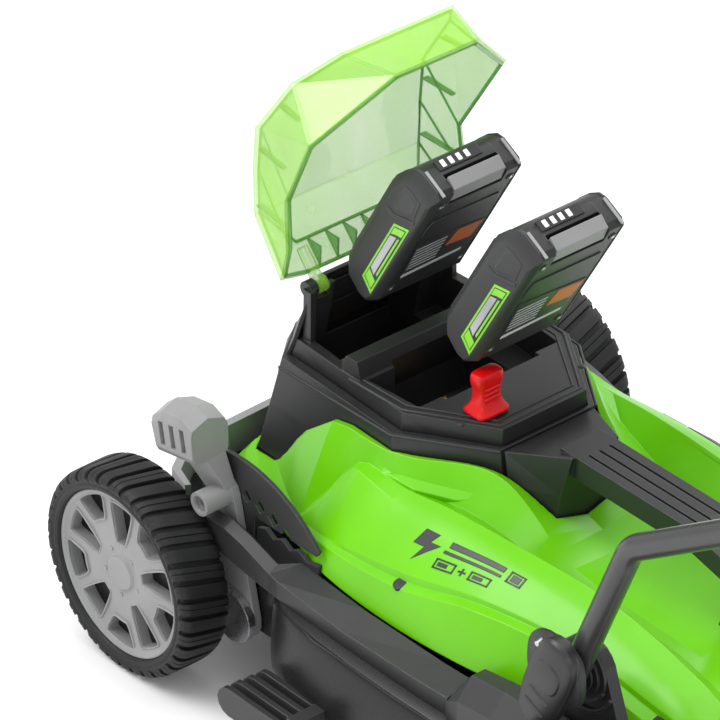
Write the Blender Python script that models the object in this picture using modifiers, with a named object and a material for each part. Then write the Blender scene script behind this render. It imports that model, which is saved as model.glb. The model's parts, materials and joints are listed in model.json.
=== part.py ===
"""Cordless push lawn mower with two batteries, its battery lid open and both packs lifted out.

World frame: metres, +Z up, +X to the mower's right, +Y forward, origin on the ground
under the middle of the whole machine. Places below are written in millimetres from the
point on the ground under the front axle, and place() turns them into world metres.
"""
import math

import bmesh
import bpy
from mathutils import Matrix, Vector

# ---- driving dimensions, mm -------------------------------------------------------
FRONT_AXLE_Y = 543.0        # world y of the front axle
WHEELBASE = 470.0
FRONT_WHEEL_R = 82.5
REAR_WHEEL_R = 90.0
FRONT_TYRE_WIDTH = 44.0
REAR_TYRE_WIDTH = 44.0
FRONT_TRACK_X = 198.0       # middle of each front tyre
REAR_TRACK_X = 212.0
AXLE_R = 5.0
CRANK_DY = 68.0             # crank pivot sits this far behind its wheel axle
CRANK_DZ = 24.5             # and this far below it
ARM_X = 163.0               # middle of each crank arm plate
ARM_THICK = 6.0
LINK_ARM = 32.0             # radius of the link rod's pins about the crank pivots
LINK_PHASE = math.radians(30.0)     # how far the pins start ahead of straight up
GAP = 0.3                   # clearance between pieces that touch
LEVER_LEAN = math.radians(10.0)
BLADE_Y = -270.0
BLADE_R = 178.0
BLADE_Z = 62.0
DECK_BOTTOM = 48.0
DECK_TOP = 112.0
CHAMBER_R = 186.0
HOUSING_FLOOR = 146.0
RIM_Z = 244.0               # rim of the battery housing
FRONT_WALL_Z = 286.0
HINGE_Y, HINGE_Z = -37.0, 284.0
LID_OPEN = math.radians(85.0)
BATTERY_LEAN = math.radians(30.0)
BATTERY_HALF_W = 43.5
BATTERY_LENGTH = 148.0
BATTERY_THICK = 40.0
BATTERY_FEET = {"front": (-61.0, 286.0), "rear": (-168.0, 286.0)}
BATTERY_SEATS = {"front": (47.6, -105.0), "rear": (71.3, -108.0)}   # move from lifted to seated
KNUCKLE_X = 54.5
KEY_AT = (-33.0, -195.0)
HANDLE_X = 165.0
HANDLE_PIVOT = (-432.0, 205.0)
HANDLE_TUBE_R = 9.5
FOLD = (-750.0, 512.0)
GRIP = (-1155.0, 985.0)
FRONT_PIVOT = (-CRANK_DY, FRONT_WHEEL_R - CRANK_DZ)
REAR_AXLE = (-WHEELBASE, REAR_WHEEL_R)
REAR_PIVOT = (-WHEELBASE - CRANK_DY, REAR_WHEEL_R - CRANK_DZ)

COLOURS = {
    "green": ((0.18, 0.52, 0.02), 0.25, 0.0),
    "black": ((0.030, 0.030, 0.032), 0.5, 0.0),
    "dark": ((0.055, 0.055, 0.06), 0.45, 0.0),
    "grey": ((0.33, 0.33, 0.34), 0.5, 0.0),
    "light_grey": ((0.42, 0.42, 0.43), 0.5, 0.0),
    "rubber": ((0.02, 0.02, 0.02), 0.8, 0.0),
    "steel": ((0.5, 0.5, 0.5), 0.35, 1.0),
    "red": ((0.65, 0.02, 0.02), 0.35, 0.0),
    "clear_green": ((0.45, 0.85, 0.30), 0.1, 0.0),
    "foam": ((0.03, 0.03, 0.03), 0.9, 0.0),
    "copper": ((0.6, 0.35, 0.2), 0.4, 1.0),
}


# ---- helpers ----------------------------------------------------------------------
def clear_scene():
    for obj in list(bpy.data.objects):
        bpy.data.objects.remove(obj, do_unlink=True)


def make_collection(name):
    collection = bpy.data.collections.new(name)
    bpy.context.scene.collection.children.link(collection)
    return collection


def make_material(name):
    colour, roughness, metallic = COLOURS[name]
    material = bpy.data.materials.new(name)
    material.use_nodes = True
    shader = material.node_tree.nodes["Principled BSDF"]
    shader.inputs["Base Color"].default_value = (*colour, 1.0)
    shader.inputs["Roughness"].default_value = roughness
    shader.inputs["Metallic"].default_value = metallic
    return material


def place(x, y, z):
    """Millimetres from under the front axle, as world metres."""
    return Vector((x, y + FRONT_AXLE_Y, z)) * 0.001


def tilt(y, z, angle):
    """A side-view offset turned by angle, positive lifting what lies forward."""
    c, s = math.cos(angle), math.sin(angle)
    return y * c - z * s, y * s + z * c


def mesh_object(name, bm, colour):
    """A new object in the mower's collection from a bmesh in world metres."""
    bmesh.ops.remove_doubles(bm, verts=bm.verts, dist=1e-6)
    bmesh.ops.recalc_face_normals(bm, faces=bm.faces)
    mesh = bpy.data.meshes.new(name)
    bm.to_mesh(mesh)
    bm.free()
    mesh.shade_smooth()
    mesh.set_sharp_from_angle(angle=math.radians(35))
    obj = bpy.data.objects.new(name, mesh)
    obj.data.materials.append(MATERIALS[colour])
    MOWER.objects.link(obj)
    return obj


def box(name, low, high, colour="black"):
    bm = bmesh.new()
    low, high = place(*low), place(*high)
    size = high - low
    bmesh.ops.create_cube(bm, size=1.0, matrix=Matrix.Translation((low + high) / 2)
                          @ Matrix.Diagonal((*size, 1.0)))
    return mesh_object(name, bm, colour)


def rod(name, start, end, radius, colour="steel", segments=24, end_radius=None):
    """A cylinder or cone between two points, radii in mm."""
    a, b = place(*start), place(*end)
    direction = b - a
    bm = bmesh.new()
    turn = direction.to_track_quat("Z", "Y").to_matrix().to_4x4()
    last = radius if end_radius is None else end_radius
    bmesh.ops.create_cone(bm, cap_ends=True, segments=segments, radius1=radius * 0.001,
                          radius2=last * 0.001, depth=direction.length,
                          matrix=Matrix.Translation((a + b) / 2) @ turn)
    return mesh_object(name, bm, colour)


def loft(name, rings, colour="black"):
    """A closed solid through rings of equal length, each a list of (x, y, z)."""
    bm = bmesh.new()
    layers = [[bm.verts.new(place(*point)) for point in ring] for ring in rings]
    count = len(layers[0])
    for lower, upper in zip(layers, layers[1:]):
        for i in range(count):
            j = (i + 1) % count
            bm.faces.new((lower[i], lower[j], upper[j], upper[i]))
    bm.faces.new(layers[0])
    bm.faces.new(layers[-1])
    return mesh_object(name, bm, colour)


def side_plate(name, outline, x_low, x_high, colour="black"):
    """A plate seen from the side: its outline is a list of (y, z)."""
    return loft(name, [[(x, y, z) for y, z in outline] for x in (x_low, x_high)], colour)


def plan_plate(name, outline, z_low, z_high, colour="black"):
    """A plate seen from above: its outline is a list of (x, y)."""
    return loft(name, [[(x, y, z) for x, y in outline] for z in (z_low, z_high)], colour)


def arc(centre, radius, start, end, steps):
    """Points on a circle, angles in degrees, both ends included."""
    points = []
    for i in range(steps + 1):
        angle = math.radians(start + (end - start) * i / steps)
        points.append((centre[0] + radius * math.cos(angle),
                       centre[1] + radius * math.sin(angle)))
    return points


def capsule(a, b, radius_a, radius_b, steps=8):
    """Outline of two discs and the band between them, in a plane."""
    heading = math.degrees(math.atan2(b[1] - a[1], b[0] - a[0]))
    return (arc(a, radius_a, heading + 90, heading + 270, steps)
            + arc(b, radius_b, heading - 90, heading + 90, steps))


def mirrored(half):
    """A plan or cross-section outline from its right half, front to back."""
    left = [(-x, *rest) for x, *rest in reversed(half) if abs(x) > 1e-9]
    return [tuple(point) for point in half] + left


def turned(name, profile, middle, axis_sign, colour, steps=36):
    """A turned piece about a lateral axis: profile of (radius, distance outward)."""
    bm = bmesh.new()
    verts = [bm.verts.new((r * 0.001, 0.0, out * 0.001)) for r, out in profile]
    loop = verts + verts[:1]
    for a, b in zip(loop, loop[1:]):
        if a.co.x > 1e-9 or b.co.x > 1e-9:
            bm.edges.new((a, b))
    mesh = bpy.data.meshes.new(name + "_profile")
    bm.to_mesh(mesh)
    bm.free()
    profile_object = bpy.data.objects.new(name + "_profile", mesh)
    CUTTERS.objects.link(profile_object)
    screw = profile_object.modifiers.new("Screw", "SCREW")
    screw.steps = steps
    screw.render_steps = steps
    screw.use_merge_vertices = True
    screw.merge_threshold = 1e-6
    solid = evaluated_bmesh(profile_object)
    bpy.data.objects.remove(profile_object, do_unlink=True)
    turn = Matrix.Rotation(math.radians(90.0) * axis_sign, 4, "Y")
    solid.transform(Matrix.Translation(place(*middle)) @ turn)
    return mesh_object(name, solid, colour)


def evaluated_bmesh(obj):
    """The object's evaluated mesh in world space, as a bmesh."""
    bpy.context.view_layer.update()
    graph = bpy.context.evaluated_depsgraph_get()
    mesh = bpy.data.meshes.new_from_object(obj.evaluated_get(graph))
    bm = bmesh.new()
    bm.from_mesh(mesh)
    bm.transform(obj.matrix_world)
    bpy.data.meshes.remove(mesh)
    bmesh.ops.remove_doubles(bm, verts=bm.verts, dist=1e-6)
    return bm


def tube(name, points, radius, colour="black", sides=3):
    """A round bar along points, as a curve with filled ends turned into a mesh."""
    curve = bpy.data.curves.new(name + "_path", "CURVE")
    curve.dimensions = "3D"
    curve.bevel_depth = radius * 0.001
    curve.bevel_resolution = sides
    curve.use_fill_caps = True
    spline = curve.splines.new("POLY")
    spline.points.add(len(points) - 1)
    for knot, point in zip(spline.points, points):
        knot.co = (*place(*point), 1.0)
    path = bpy.data.objects.new(name + "_path", curve)
    CUTTERS.objects.link(path)
    bm = evaluated_bmesh(path)
    bpy.data.objects.remove(path, do_unlink=True)
    return mesh_object(name, bm, colour)


def rounded_path(points, radius, steps=5):
    """The corners of a path replaced with short arcs of points."""
    corners = [Vector(point) for point in points]
    result = [tuple(corners[0])]
    for before, corner, after in zip(corners, corners[1:], corners[2:]):
        back, ahead = (before - corner).normalized(), (after - corner).normalized()
        reach = min(radius, (before - corner).length * 0.45, (after - corner).length * 0.45)
        start, end = corner + back * reach, corner + ahead * reach
        for i in range(steps + 1):
            t = i / steps
            result.append(tuple((1 - t) ** 2 * start + 2 * t * (1 - t) * corner + t * t * end))
    result.append(tuple(corners[-1]))
    return result


def combine(target, others, operation):
    """Join or cut one object with others, which are used up."""
    for other in others:
        modifier = target.modifiers.new("Combine", "BOOLEAN")
        modifier.operation = operation
        modifier.solver = "EXACT"
        modifier.object = other
        bm = evaluated_bmesh(target)
        target.modifiers.clear()
        bmesh.ops.dissolve_degenerate(bm, dist=1e-6, edges=bm.edges)
        bmesh.ops.triangulate(bm, faces=[f for f in bm.faces if len(f.verts) > 4])
        bm.transform(target.matrix_world.inverted())
        bm.to_mesh(target.data)
        bm.free()
        bpy.data.objects.remove(other, do_unlink=True)
    target.data.shade_smooth()
    target.data.set_sharp_from_angle(angle=math.radians(35))
    return target


def join(target, *others):
    return combine(target, others, "UNION")


def cut(target, *others):
    return combine(target, others, "DIFFERENCE")


def round_edges(obj, width, segments=2, angle=30.0):
    """Bevel the sharp edges of a finished solid, in place."""
    bevel = obj.modifiers.new("Bevel", "BEVEL")
    bevel.width = width * 0.001
    bevel.segments = segments
    bevel.limit_method = "ANGLE"
    bevel.angle_limit = math.radians(angle)
    bm = evaluated_bmesh(obj)
    obj.modifiers.clear()
    bm.transform(obj.matrix_world.inverted())
    bm.to_mesh(obj.data)
    bm.free()
    return obj


def pivot_at(objects, x, y, z):
    """Move the origins of a moving body's pieces onto its joint."""
    point = place(x, y, z)
    for obj in objects:
        obj.data.transform(Matrix.Translation(-point))
        obj.location = point


# ---- deck -------------------------------------------------------------------------
def deck():
    outline = mirrored([(0, 36), (118, 32), (146, 12), (152, -16), (152, -112), (176, -129),
                        (188, -185), (190, -270), (188, -350), (176, -398), (152, -420),
                        (152, -552), (0, -552)])
    shell = plan_plate("deck_shell", outline, DECK_BOTTOM, DECK_TOP)
    tail = box("tail", (-150, -550, DECK_TOP - 8), (150, -380, 132))
    shell = join(shell, tail)
    inside = rod("chamber", (0, BLADE_Y, DECK_BOTTOM - 5), (0, BLADE_Y, DECK_TOP - 4),
                 CHAMBER_R, segments=72)
    nose = plan_plate("nose", mirrored([(0, 32), (116, 28), (142, 10), (148, -16), (148, -150),
                                        (0, -150)]), DECK_BOTTOM - 5, DECK_TOP - 4)
    tunnel = box("tunnel", (-110, -560, DECK_BOTTOM - 5), (110, -330, 127))
    bays = box("bays", (-148, -548.5, DECK_BOTTOM - 5), (148, -330, DECK_TOP - 4))
    shaft_hole = rod("shaft_hole", (0, BLADE_Y, 90), (0, BLADE_Y, 130), 11)
    rod_holes = [rod("rod_hole", (-170, *pivot), (170, *pivot), AXLE_R + GAP, segments=24)
                 for pivot in (FRONT_PIVOT, REAR_PIVOT)]
    return cut(shell, inside, nose, tunnel, bays, shaft_hole, *rod_holes)


def front_bumper():
    half = [(0, 44), (120, 40), (150, 18), (157, -6), (153, -8), (146, 12), (118, 33), (0, 37)]
    outline = half + [(-x, y) for x, y in reversed(half[1:-1])]
    bar = plan_plate("front_bumper", outline, 92, 138, "grey")
    return bar


def deck_rail(side, name):
    """The thick rail along the deck's edge, its outer face upright and its top sloping in.

    Near the front it is narrow, to leave the height lever a slot to swing in.
    """
    def ring(y, x_out, x_in, z_low, z_mid, z_top):
        points = [(x_out, z_low), (x_out, z_mid), (x_in + 4, z_top), (x_in, z_top - 4),
                  (x_out - 4, z_mid - 4), (x_out - 4, z_low)]
        return [(side * x, y, z) for x, z in points]
    rings = [ring(-46, 174.5, 162, 122, 142, 146), ring(-72, 174.5, 162, 118, 142, 146),
             ring(-92, 174.5, 162, 115, 138, 142), ring(-122, 175, 162, 113, 129, 133),
             ring(-132, 176, 148, 113, 128, 133), ring(-205, 178, 152, 113, 125, 133),
             ring(-290, 178, 152, 113, 127, 133.5), ring(-318, 177, 151, 113, 128, 134)]
    return loft(name, rings, "dark")


def height_quadrant():
    """The upright plate with a row of notches that the height lever locks into."""
    arch = arc((-66.0, 72.0), 117.0, 66.0, 137.0, 14)
    outline = arch + [(-149, 147.5), (-81, 147.5), (-78, 112.3), (-24, 112.3)]
    plate = side_plate("height_quadrant", outline, -152.9, -149.6, "dark")
    notches = []
    for step in range(5):
        angle = math.radians(92.0 + 8.5 * step)
        y = FRONT_PIVOT[0] + 102.0 * math.cos(angle)
        z = FRONT_PIVOT[1] + 102.0 * math.sin(angle)
        notches.append(rod("notch", (-162, y, z), (-140, y, z), 5.6, segments=4))
    return cut(plate, *notches)


def fender(side, name):
    def ring(y, x_out, z_low, z_top):
        drop = min(16.0, (z_top - z_low) * 0.4)
        points = [(x_out, z_low), (x_out, z_top - drop), (x_out - 14, z_top), (158, z_top),
                  (158, z_low)]
        return [(side * x, y, z) for x, z in points]
    outer = loft(name, [ring(-320, 180, 113, 136), ring(-336, 184, 113, 154),
                        ring(-372, 186, 113, 160), ring(-440, 186, 113, 158)], "dark")
    hollow = []
    for y, z_top in ((-340, 146), (-368, 155), (-445, 153)):
        profile = ((181, 108), (181, z_top - 14), (170, z_top), (160, z_top), (160, 108))
        hollow.append([(side * x, y, z) for x, z in profile])
    inner = loft("inner", hollow)
    return cut(outer, inner)


def grass_comb(side, name):
    """Four long fins with rounded noses, stepping up toward the deck, on one foot."""
    low, high = sorted((side * 189.2, side * 219.0))
    bar = box(name, (low, -205, 36), (high, -194, 62))
    fins = []
    for i in range(4):
        x = side * (216.5 - 8.3 * i)
        nose_y = -116.0 - 4.0 * i
        base = 27.0 + 3.0 * i
        outline = ([(-200, base), (-200, base + 24), (nose_y - 30, base + 24)]
                   + arc((nose_y - 12, base + 12), 12, 90, -90, 6))
        fins.append(side_plate("fin", outline, x - 2.3, x + 2.3))
    return join(bar, *fins)


def motor():
    body = rod("motor_body", (0, BLADE_Y, DECK_TOP + GAP), (0, BLADE_Y, 147), 50, "dark", 32)
    flange = rod("flange", (0, BLADE_Y, DECK_TOP + GAP), (0, BLADE_Y, DECK_TOP + 6), 62, "dark", 32)
    body = join(body, flange)
    bore = rod("bore", (0, BLADE_Y, 100), (0, BLADE_Y, 140), 10.5, segments=24)
    return cut(body, bore)


def cutting_set():
    shaft = rod("motor_shaft", (0, BLADE_Y, 74 + GAP), (0, BLADE_Y, 136), 7.5, "steel", 24)
    adapter = rod("blade_adapter", (0, BLADE_Y, BLADE_Z + 4 + GAP), (0, BLADE_Y, 74), 22, "black", 24)
    blade = box("blade", (-BLADE_R, BLADE_Y - 24, BLADE_Z), (BLADE_R, BLADE_Y + 24, BLADE_Z + 4), "steel")
    bolt = rod("blade_bolt", (0, BLADE_Y, BLADE_Z - 10), (0, BLADE_Y, BLADE_Z - GAP), 10, "steel", 6)
    tips = []
    for side in (-1, 1):
        x0, x1 = sorted((side * (BLADE_R - 60), side * BLADE_R))
        tips.append(loft("tip", [[(x, BLADE_Y - side * 23, BLADE_Z + 1),
                                  (x, BLADE_Y - side * 38, BLADE_Z + 12),
                                  (x, BLADE_Y - side * 38, BLADE_Z + 15),
                                  (x, BLADE_Y - side * 22, BLADE_Z + 4)] for x in (x0, x1)]))
    corner_cutters = []
    for side in (-1, 1):
        corner = [(side * 120, BLADE_Y + side * 30), (side * 190, BLADE_Y + side * 30),
                  (side * 190, BLADE_Y + side * 8)]
        corner_cutters.append(plan_plate("corner", corner, BLADE_Z - 5, BLADE_Z + 9))
    blade = cut(join(blade, *tips), *corner_cutters)
    pivot_at([shaft, adapter, blade, bolt], 0, BLADE_Y, BLADE_Z)


# ---- covers and battery housing ---------------------------------------------------
def cover_section(y, centre, inner, ridge, lower, edge):
    """Half of the hood's cross-section, middle to edge, as (x, y, z)."""
    half = [(0.0, centre)] + [inner, ridge, lower, edge]
    return [(x, y, z) for x, z in half]


COVER_SECTIONS = [
    cover_section(18, 128, (40, 128), (72, 126), (90, 122), (98, 117)),
    cover_section(-4, 160, (46, 160), (86, 150), (99, 142), (104, 130)),
    cover_section(-50, 188, (60, 186), (95, 174), (109, 158), (118, 135)),
    cover_section(-100, 214, (80, 213), (98, 202), (122, 170), (132, 137)),
    cover_section(-135, 216, (85, 214), (104, 206), (145, 160), (150, 137)),
    cover_section(-200, 190, (60, 196), (108, 210), (147, 163), (151, 137)),
    cover_section(-262, 172, (48, 176), (113, 210), (148, 163), (152, 137)),
    cover_section(-340, 166, (52, 170), (112, 205), (148, 161), (152, 138)),
    cover_section(-430, 176, (58, 178), (106, 198), (138, 165), (142, 142)),
    cover_section(-500, 168, (66, 168), (100, 176), (130, 160), (136, 140)),
    cover_section(-536, 146, (70, 146), (98, 148), (120, 144), (130, 138)),
]


def top_cover():
    """The green hood: sections lofted from front to back, given a thin wall inward."""
    bm = bmesh.new()
    rows = []
    for section in COVER_SECTIONS:
        left = [(-x, y, z) for x, y, z in reversed(section[1:])]
        rows.append([bm.verts.new(place(*point)) for point in left + section])
    for front, back in zip(rows, rows[1:]):
        for i in range(len(front) - 1):
            bm.faces.new((front[i], front[i + 1], back[i + 1], back[i]))
    cover = mesh_object("top_cover", bm, "green")
    solidify = cover.modifiers.new("Solidify", "SOLIDIFY")
    solidify.thickness = 0.0025
    solidify.offset = -1.0
    if cover.data.polygons[0].normal.z < 0:
        solidify.offset = 1.0
    bm = evaluated_bmesh(cover)
    cover.modifiers.clear()
    bm.to_mesh(cover.data)
    bm.free()
    return cut(cover, shroud_solid("opening", 1.0), handle_block("block_opening", 1.0))


def ring_at(z, half, front, corner_y, side_y, rear_half, rear_y):
    """Plan ring of the housing at one height: nose, corner, side, chamfer, back."""
    points = [(46, front), (half[0], corner_y), (half[1], side_y), (rear_half, rear_y)]
    return [(x, y, z) for x, y in [(-x, y) for x, y in reversed(points)] + points]


def housing_solid(name, grow=0.0, top=RIM_Z):
    """The bucket that holds the packs, tapering upward; grow widens it evenly."""
    g = grow
    return loft(name, [
        ring_at(HOUSING_FLOOR - g, (84 + g, 85 + g), 14 + g, -14 + g, -160 - g * 0.4, 43 + g * 0.6, -216 - g),
        ring_at(190, (81 + g, 83 + g), 10 + g, -22 + g, -160 - g * 0.4, 42 + g * 0.6, -218 - g),
        ring_at(top, (74 + g, 80 + g), -13 + g, -34 + g, -158 - g * 0.4, 40 + g * 0.6, -221 - g),
    ], "dark")


def shroud_solid(name, grow=0.0):
    """Outer face of the skirt around the bucket."""
    g = grow
    return loft(name, [
        ring_at(100 - g, (96 + g, 96 + g), 26 + g, -6 + g, -166 - g * 0.4, 50 + g * 0.6, -236 - g),
        ring_at(150, (94 + g, 95 + g), 20 + g, -14 + g, -164 - g * 0.4, 49 + g * 0.6, -232 - g),
        ring_at(190, (89 + g, 92 + g), 13 + g, -22 + g, -162 - g * 0.4, 47 + g * 0.6, -229 - g),
        ring_at(230, (84 + g, 89 + g), 0 + g, -30 + g, -157 - g * 0.4, 45 + g * 0.6, -224 - g),
    ], "dark")


def convex_outline(points):
    """The smallest convex outline round some side-view points, counterclockwise."""
    def half(ordered):
        kept = []
        for point in ordered:
            while len(kept) > 1:
                (ay, az), (by, bz) = kept[-2], kept[-1]
                if (by - ay) * (point[1] - az) - (bz - az) * (point[0] - ay) > 1e-9:
                    break
                kept.pop()
            kept.append(point)
        return kept[:-1]
    ordered = sorted(points)
    return half(ordered) + half(ordered[::-1])


def battery_well(which):
    """The room a pack sweeps on its way from lifted to seated, as a cutter."""
    t = BATTERY_THICK / 2
    corners = [(-4, -14), (-4, 9), (13, t + 7), (112, t + 7), (150, t + 1.5), (150, -t - 1.5),
               (9, -t - 1.5)]
    lifted = [pack_point(which, along, across) for along, across in corners]
    dy, dz = BATTERY_SEATS[which]
    seated = [(y + dy, z + dz) for y, z in lifted]
    half_width = BATTERY_HALF_W + 1.5
    return side_plate("well", convex_outline(lifted + seated), -half_width, half_width)


def battery_housing():
    body = housing_solid("battery_housing")
    front_wall = loft("front_wall", [
        [(-71, -37, 200), (-46, -20, 200), (46, -20, 200), (71, -37, 200), (71, -46, 200), (-71, -46, 200)],
        [(-70, -38, FRONT_WALL_Z), (-46, -29, FRONT_WALL_Z), (46, -29, FRONT_WALL_Z),
         (70, -38, FRONT_WALL_Z), (70, -46, FRONT_WALL_Z), (-70, -46, FRONT_WALL_Z)],
    ], "dark")
    divider = side_plate("divider", [(-87, 232), (-88, 250), (-92, 258), (-104, 258), (-110, 232)],
                         -76, 76, "dark")
    body = join(body, front_wall, divider)
    mouth_front = loft("mouth_front", [
        [(-66, -28, 212), (66, -28, 212), (70, -84, 212), (-70, -84, 212)],
        [(-64, -47, 300), (64, -47, 300), (68, -86, 300), (-68, -86, 300)],
    ])
    mouth_rear = loft("mouth_rear", [
        [(-70, -110, 216), (70, -110, 216), (66, -158, 216), (-66, -158, 216)],
        [(-72, -108, 300), (72, -108, 300), (68, -166, 300), (-68, -166, 300)],
    ])
    wells = [battery_well(which) for which in ("front", "rear")]
    x, y = KEY_AT
    key_hole = box("key_hole", (x - 9.5, y - 9.5, 214), (x + 9.5, y + 9.5, 260))
    notches = [box("hinge_notch", (x - 5.5, -60, 276), (x + 5.5, -20, 300))
               for x in (-KNUCKLE_X, KNUCKLE_X)]
    body = cut(body, mouth_front, mouth_rear, *wells, key_hole, *notches)
    lugs = [rod("lug", (side * (KNUCKLE_X + 5.5), HINGE_Y, HINGE_Z),
                (side * (KNUCKLE_X + 12.5), HINGE_Y, HINGE_Z), 6.5, segments=20)
            for side in (-1, 1)]
    pin_hole = rod("pin_hole", (-KNUCKLE_X - 11.5, HINGE_Y, HINGE_Z), (KNUCKLE_X + 11.5, HINGE_Y, HINGE_Z),
                   3.0 + GAP, segments=16)
    return cut(join(body, *lugs), pin_hole)


def housing_shroud():
    skirt = shroud_solid("housing_shroud")
    hole = housing_solid("hole", 1.2)
    hollow = box("hollow", (-120, -260, 80), (120, 60, 149))
    return cut(skirt, hole, hollow)


def handle_block(name, grow=0.0):
    """The block behind the battery housing that the carry handle grows from."""
    g = grow
    return loft(name, [
        [(-46 - g, -237 + g, 166), (46 + g, -237 + g, 166), (30 + g, -264 - g, 166),
         (-30 - g, -264 - g, 166)],
        [(-45 - g, -233 + g, 205), (45 + g, -233 + g, 205), (27 + g, -268 - g, 205),
         (-27 - g, -268 - g, 205)],
        [(-43, -226, 229), (43, -226, 229), (22, -274, 238), (-22, -274, 238)],
    ], "dark")


def carry_handle():
    """The grip bar over the recess, with its block behind the battery housing."""
    block = handle_block("carry_handle")
    bar = loft("bar", [[(-19, y, z - 18), (-19, y, z), (19, y, z), (19, y, z - 18)]
                       for y, z in ((-258, 238), (-390, 238), (-432, 228), (-462, 206))], "dark")
    foot = loft("foot", [[(-26, -462, 206), (26, -462, 206), (22, -436, 206), (-22, -436, 206)],
                         [(-30, -470, 181), (30, -470, 181), (26, -430, 181), (-26, -430, 181)]], "dark")
    grooves = [box("groove", (x - 1.2, -425, 235.5), (x + 1.2, -278, 245)) for x in (-10, 0, 10)]
    return cut(join(block, bar, foot), *grooves)


# ---- lid --------------------------------------------------------------------------
# Corners of the closed lid's right half, as (x, y, z): its rim and its roof.
LID_RIM = [(62, -44, 291), (85, -50, 290), (85, -77, 286), (83, -116, 293), (92, -185, 262),
           (38, -238, 236)]
LID_ROOF = [(60, -60, 308), (78, -82, 330), (79, -118, 333), (79, -156, 333), (75, -208, 303),
            (52, -238, 279)]


def open_lid(y, z):
    """A closed-lid place turned up about the hinge."""
    dy, dz = tilt(y - HINGE_Y, z - HINGE_Z, -LID_OPEN)
    return HINGE_Y + dy, HINGE_Z + dz


def battery_lid():
    """A thin clear shell: a faceted roof with walls down to a stepped rim."""
    bm = bmesh.new()

    def corner(x, y, z):
        return bm.verts.new(place(x, *open_lid(y, z)))

    rows = [[corner(side * x, y, z) for x, y, z in line]
            for side, line in ((1, LID_RIM), (1, LID_ROOF), (-1, LID_ROOF), (-1, LID_RIM))]
    for upper, lower in zip(rows, rows[1:]):
        for i in range(len(upper) - 1):
            bm.faces.new((upper[i], upper[i + 1], lower[i + 1], lower[i]))
    bm.faces.new([row[-1] for row in rows])
    bm.faces.new([row[0] for row in rows])
    bmesh.ops.remove_doubles(bm, verts=bm.verts, dist=1e-6)
    bmesh.ops.recalc_face_normals(bm, faces=bm.faces)
    lid = mesh_object("battery_lid", bm, "clear_green")
    solidify = lid.modifiers.new("Solidify", "SOLIDIFY")
    solidify.thickness = 0.0025
    solidify.offset = 0.0
    solidify.use_even_offset = True
    bm = evaluated_bmesh(lid)
    lid.modifiers.clear()
    bm.to_mesh(lid.data)
    bm.free()
    knuckles = []
    for side in (-1, 1):
        x0, x1 = sorted((side * (KNUCKLE_X - 4.5), side * (KNUCKLE_X + 4.5)))
        knuckles.append(rod("knuckle", (x0, HINGE_Y, HINGE_Z), (x1, HINGE_Y, HINGE_Z), 6.5))
        arm = [(dy + HINGE_Y, dz + HINGE_Z) for dy, dz in ((-3.5, 3), (3, -3), (9, 6), (21, 20), (17, 24))]
        knuckles.append(side_plate("arm", arm, x0 + 1, x1 - 1))
    lid = join(lid, *knuckles)
    pin_hole = rod("pin_hole", (-66, HINGE_Y, HINGE_Z), (66, HINGE_Y, HINGE_Z), 3.0 + GAP)
    lid = cut(lid, pin_hole)
    pivot_at([lid], 0, HINGE_Y, HINGE_Z)
    return lid


def lid_hinge_pin(side, name):
    """A stub pin, one each side, that runs from a housing lug through a lid knuckle."""
    return rod(name, (side * (KNUCKLE_X - 5), HINGE_Y, HINGE_Z),
               (side * (KNUCKLE_X + 11), HINGE_Y, HINGE_Z), 3.0, "steel", 16)


# ---- batteries and key ------------------------------------------------------------
def pack_point(which, along, across):
    """Side-view place on a pack: along from its foot upward, across toward its front."""
    foot = BATTERY_FEET[which]
    up = (-math.sin(BATTERY_LEAN), math.cos(BATTERY_LEAN))
    ahead = (math.cos(BATTERY_LEAN), math.sin(BATTERY_LEAN))
    return (foot[0] + up[0] * along + ahead[0] * across,
            foot[1] + up[1] * along + ahead[1] * across)


def battery(which):
    half_t, length, half_w = BATTERY_THICK / 2, BATTERY_LENGTH, BATTERY_HALF_W

    def ring(x, inset):
        profile = [(inset, half_t - 12), (inset + 4, -half_t + 6 + inset * 0.3), (12 + inset, -half_t),
                   (length - 10 - inset, -half_t), (length - inset, -half_t + 8),
                   (length - inset - 2, half_t - 12), (length - 26 - inset, half_t), (14 + inset, half_t)]
        return [(x, *pack_point(which, a, b)) for a, b in profile]

    case = loft(f"battery_{which}_case",
                [ring(-half_w, 5), ring(-half_w + 7, 0), ring(half_w - 7, 0), ring(half_w, 5)], "dark")
    rail_profile = [(14, half_t + GAP), (14, half_t + 5), (104, half_t + 5), (112, half_t + GAP)]
    rails = loft(f"battery_{which}_rail",
                 [[(x, *pack_point(which, a, b)) for a, b in rail_profile] for x in (-31, 31)], "black")
    pocket = loft("pocket", [[(x, *pack_point(which, a, b)) for a, b in
                              ((length - 16, -half_t - 5), (length + 5, -half_t - 5),
                               (length + 5, -half_t + 16), (length - 16, -half_t + 16))]
                             for x in (-25, 25)])
    case = cut(case, pocket)
    button_profile = [(length - 15.2, -half_t + 0.5), (length - 3, -half_t + 2),
                      (length - 0.5, -half_t + 12.2), (length - 15.2, -half_t + 12.2)]
    button = loft(f"battery_{which}_button",
                  [[(x, *pack_point(which, a, b)) for a, b in button_profile] for x in (-24, 24)], "grey")
    foot = BATTERY_FEET[which]
    pivot_at([case, rails, button], 0, *foot)


def terminal_block(which):
    """The contact block in the floor of a well, under the seated pack."""
    dy, dz = BATTERY_SEATS[which]
    outline = [pack_point(which, *corner) for corner in ((-3.7, -8), (-3.7, 8), (-1.2, 8), (-1.2, -8))]
    return side_plate(f"terminal_block_{which}", [(y + dy, z + dz) for y, z in outline], -22, 22, "copper")


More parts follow.
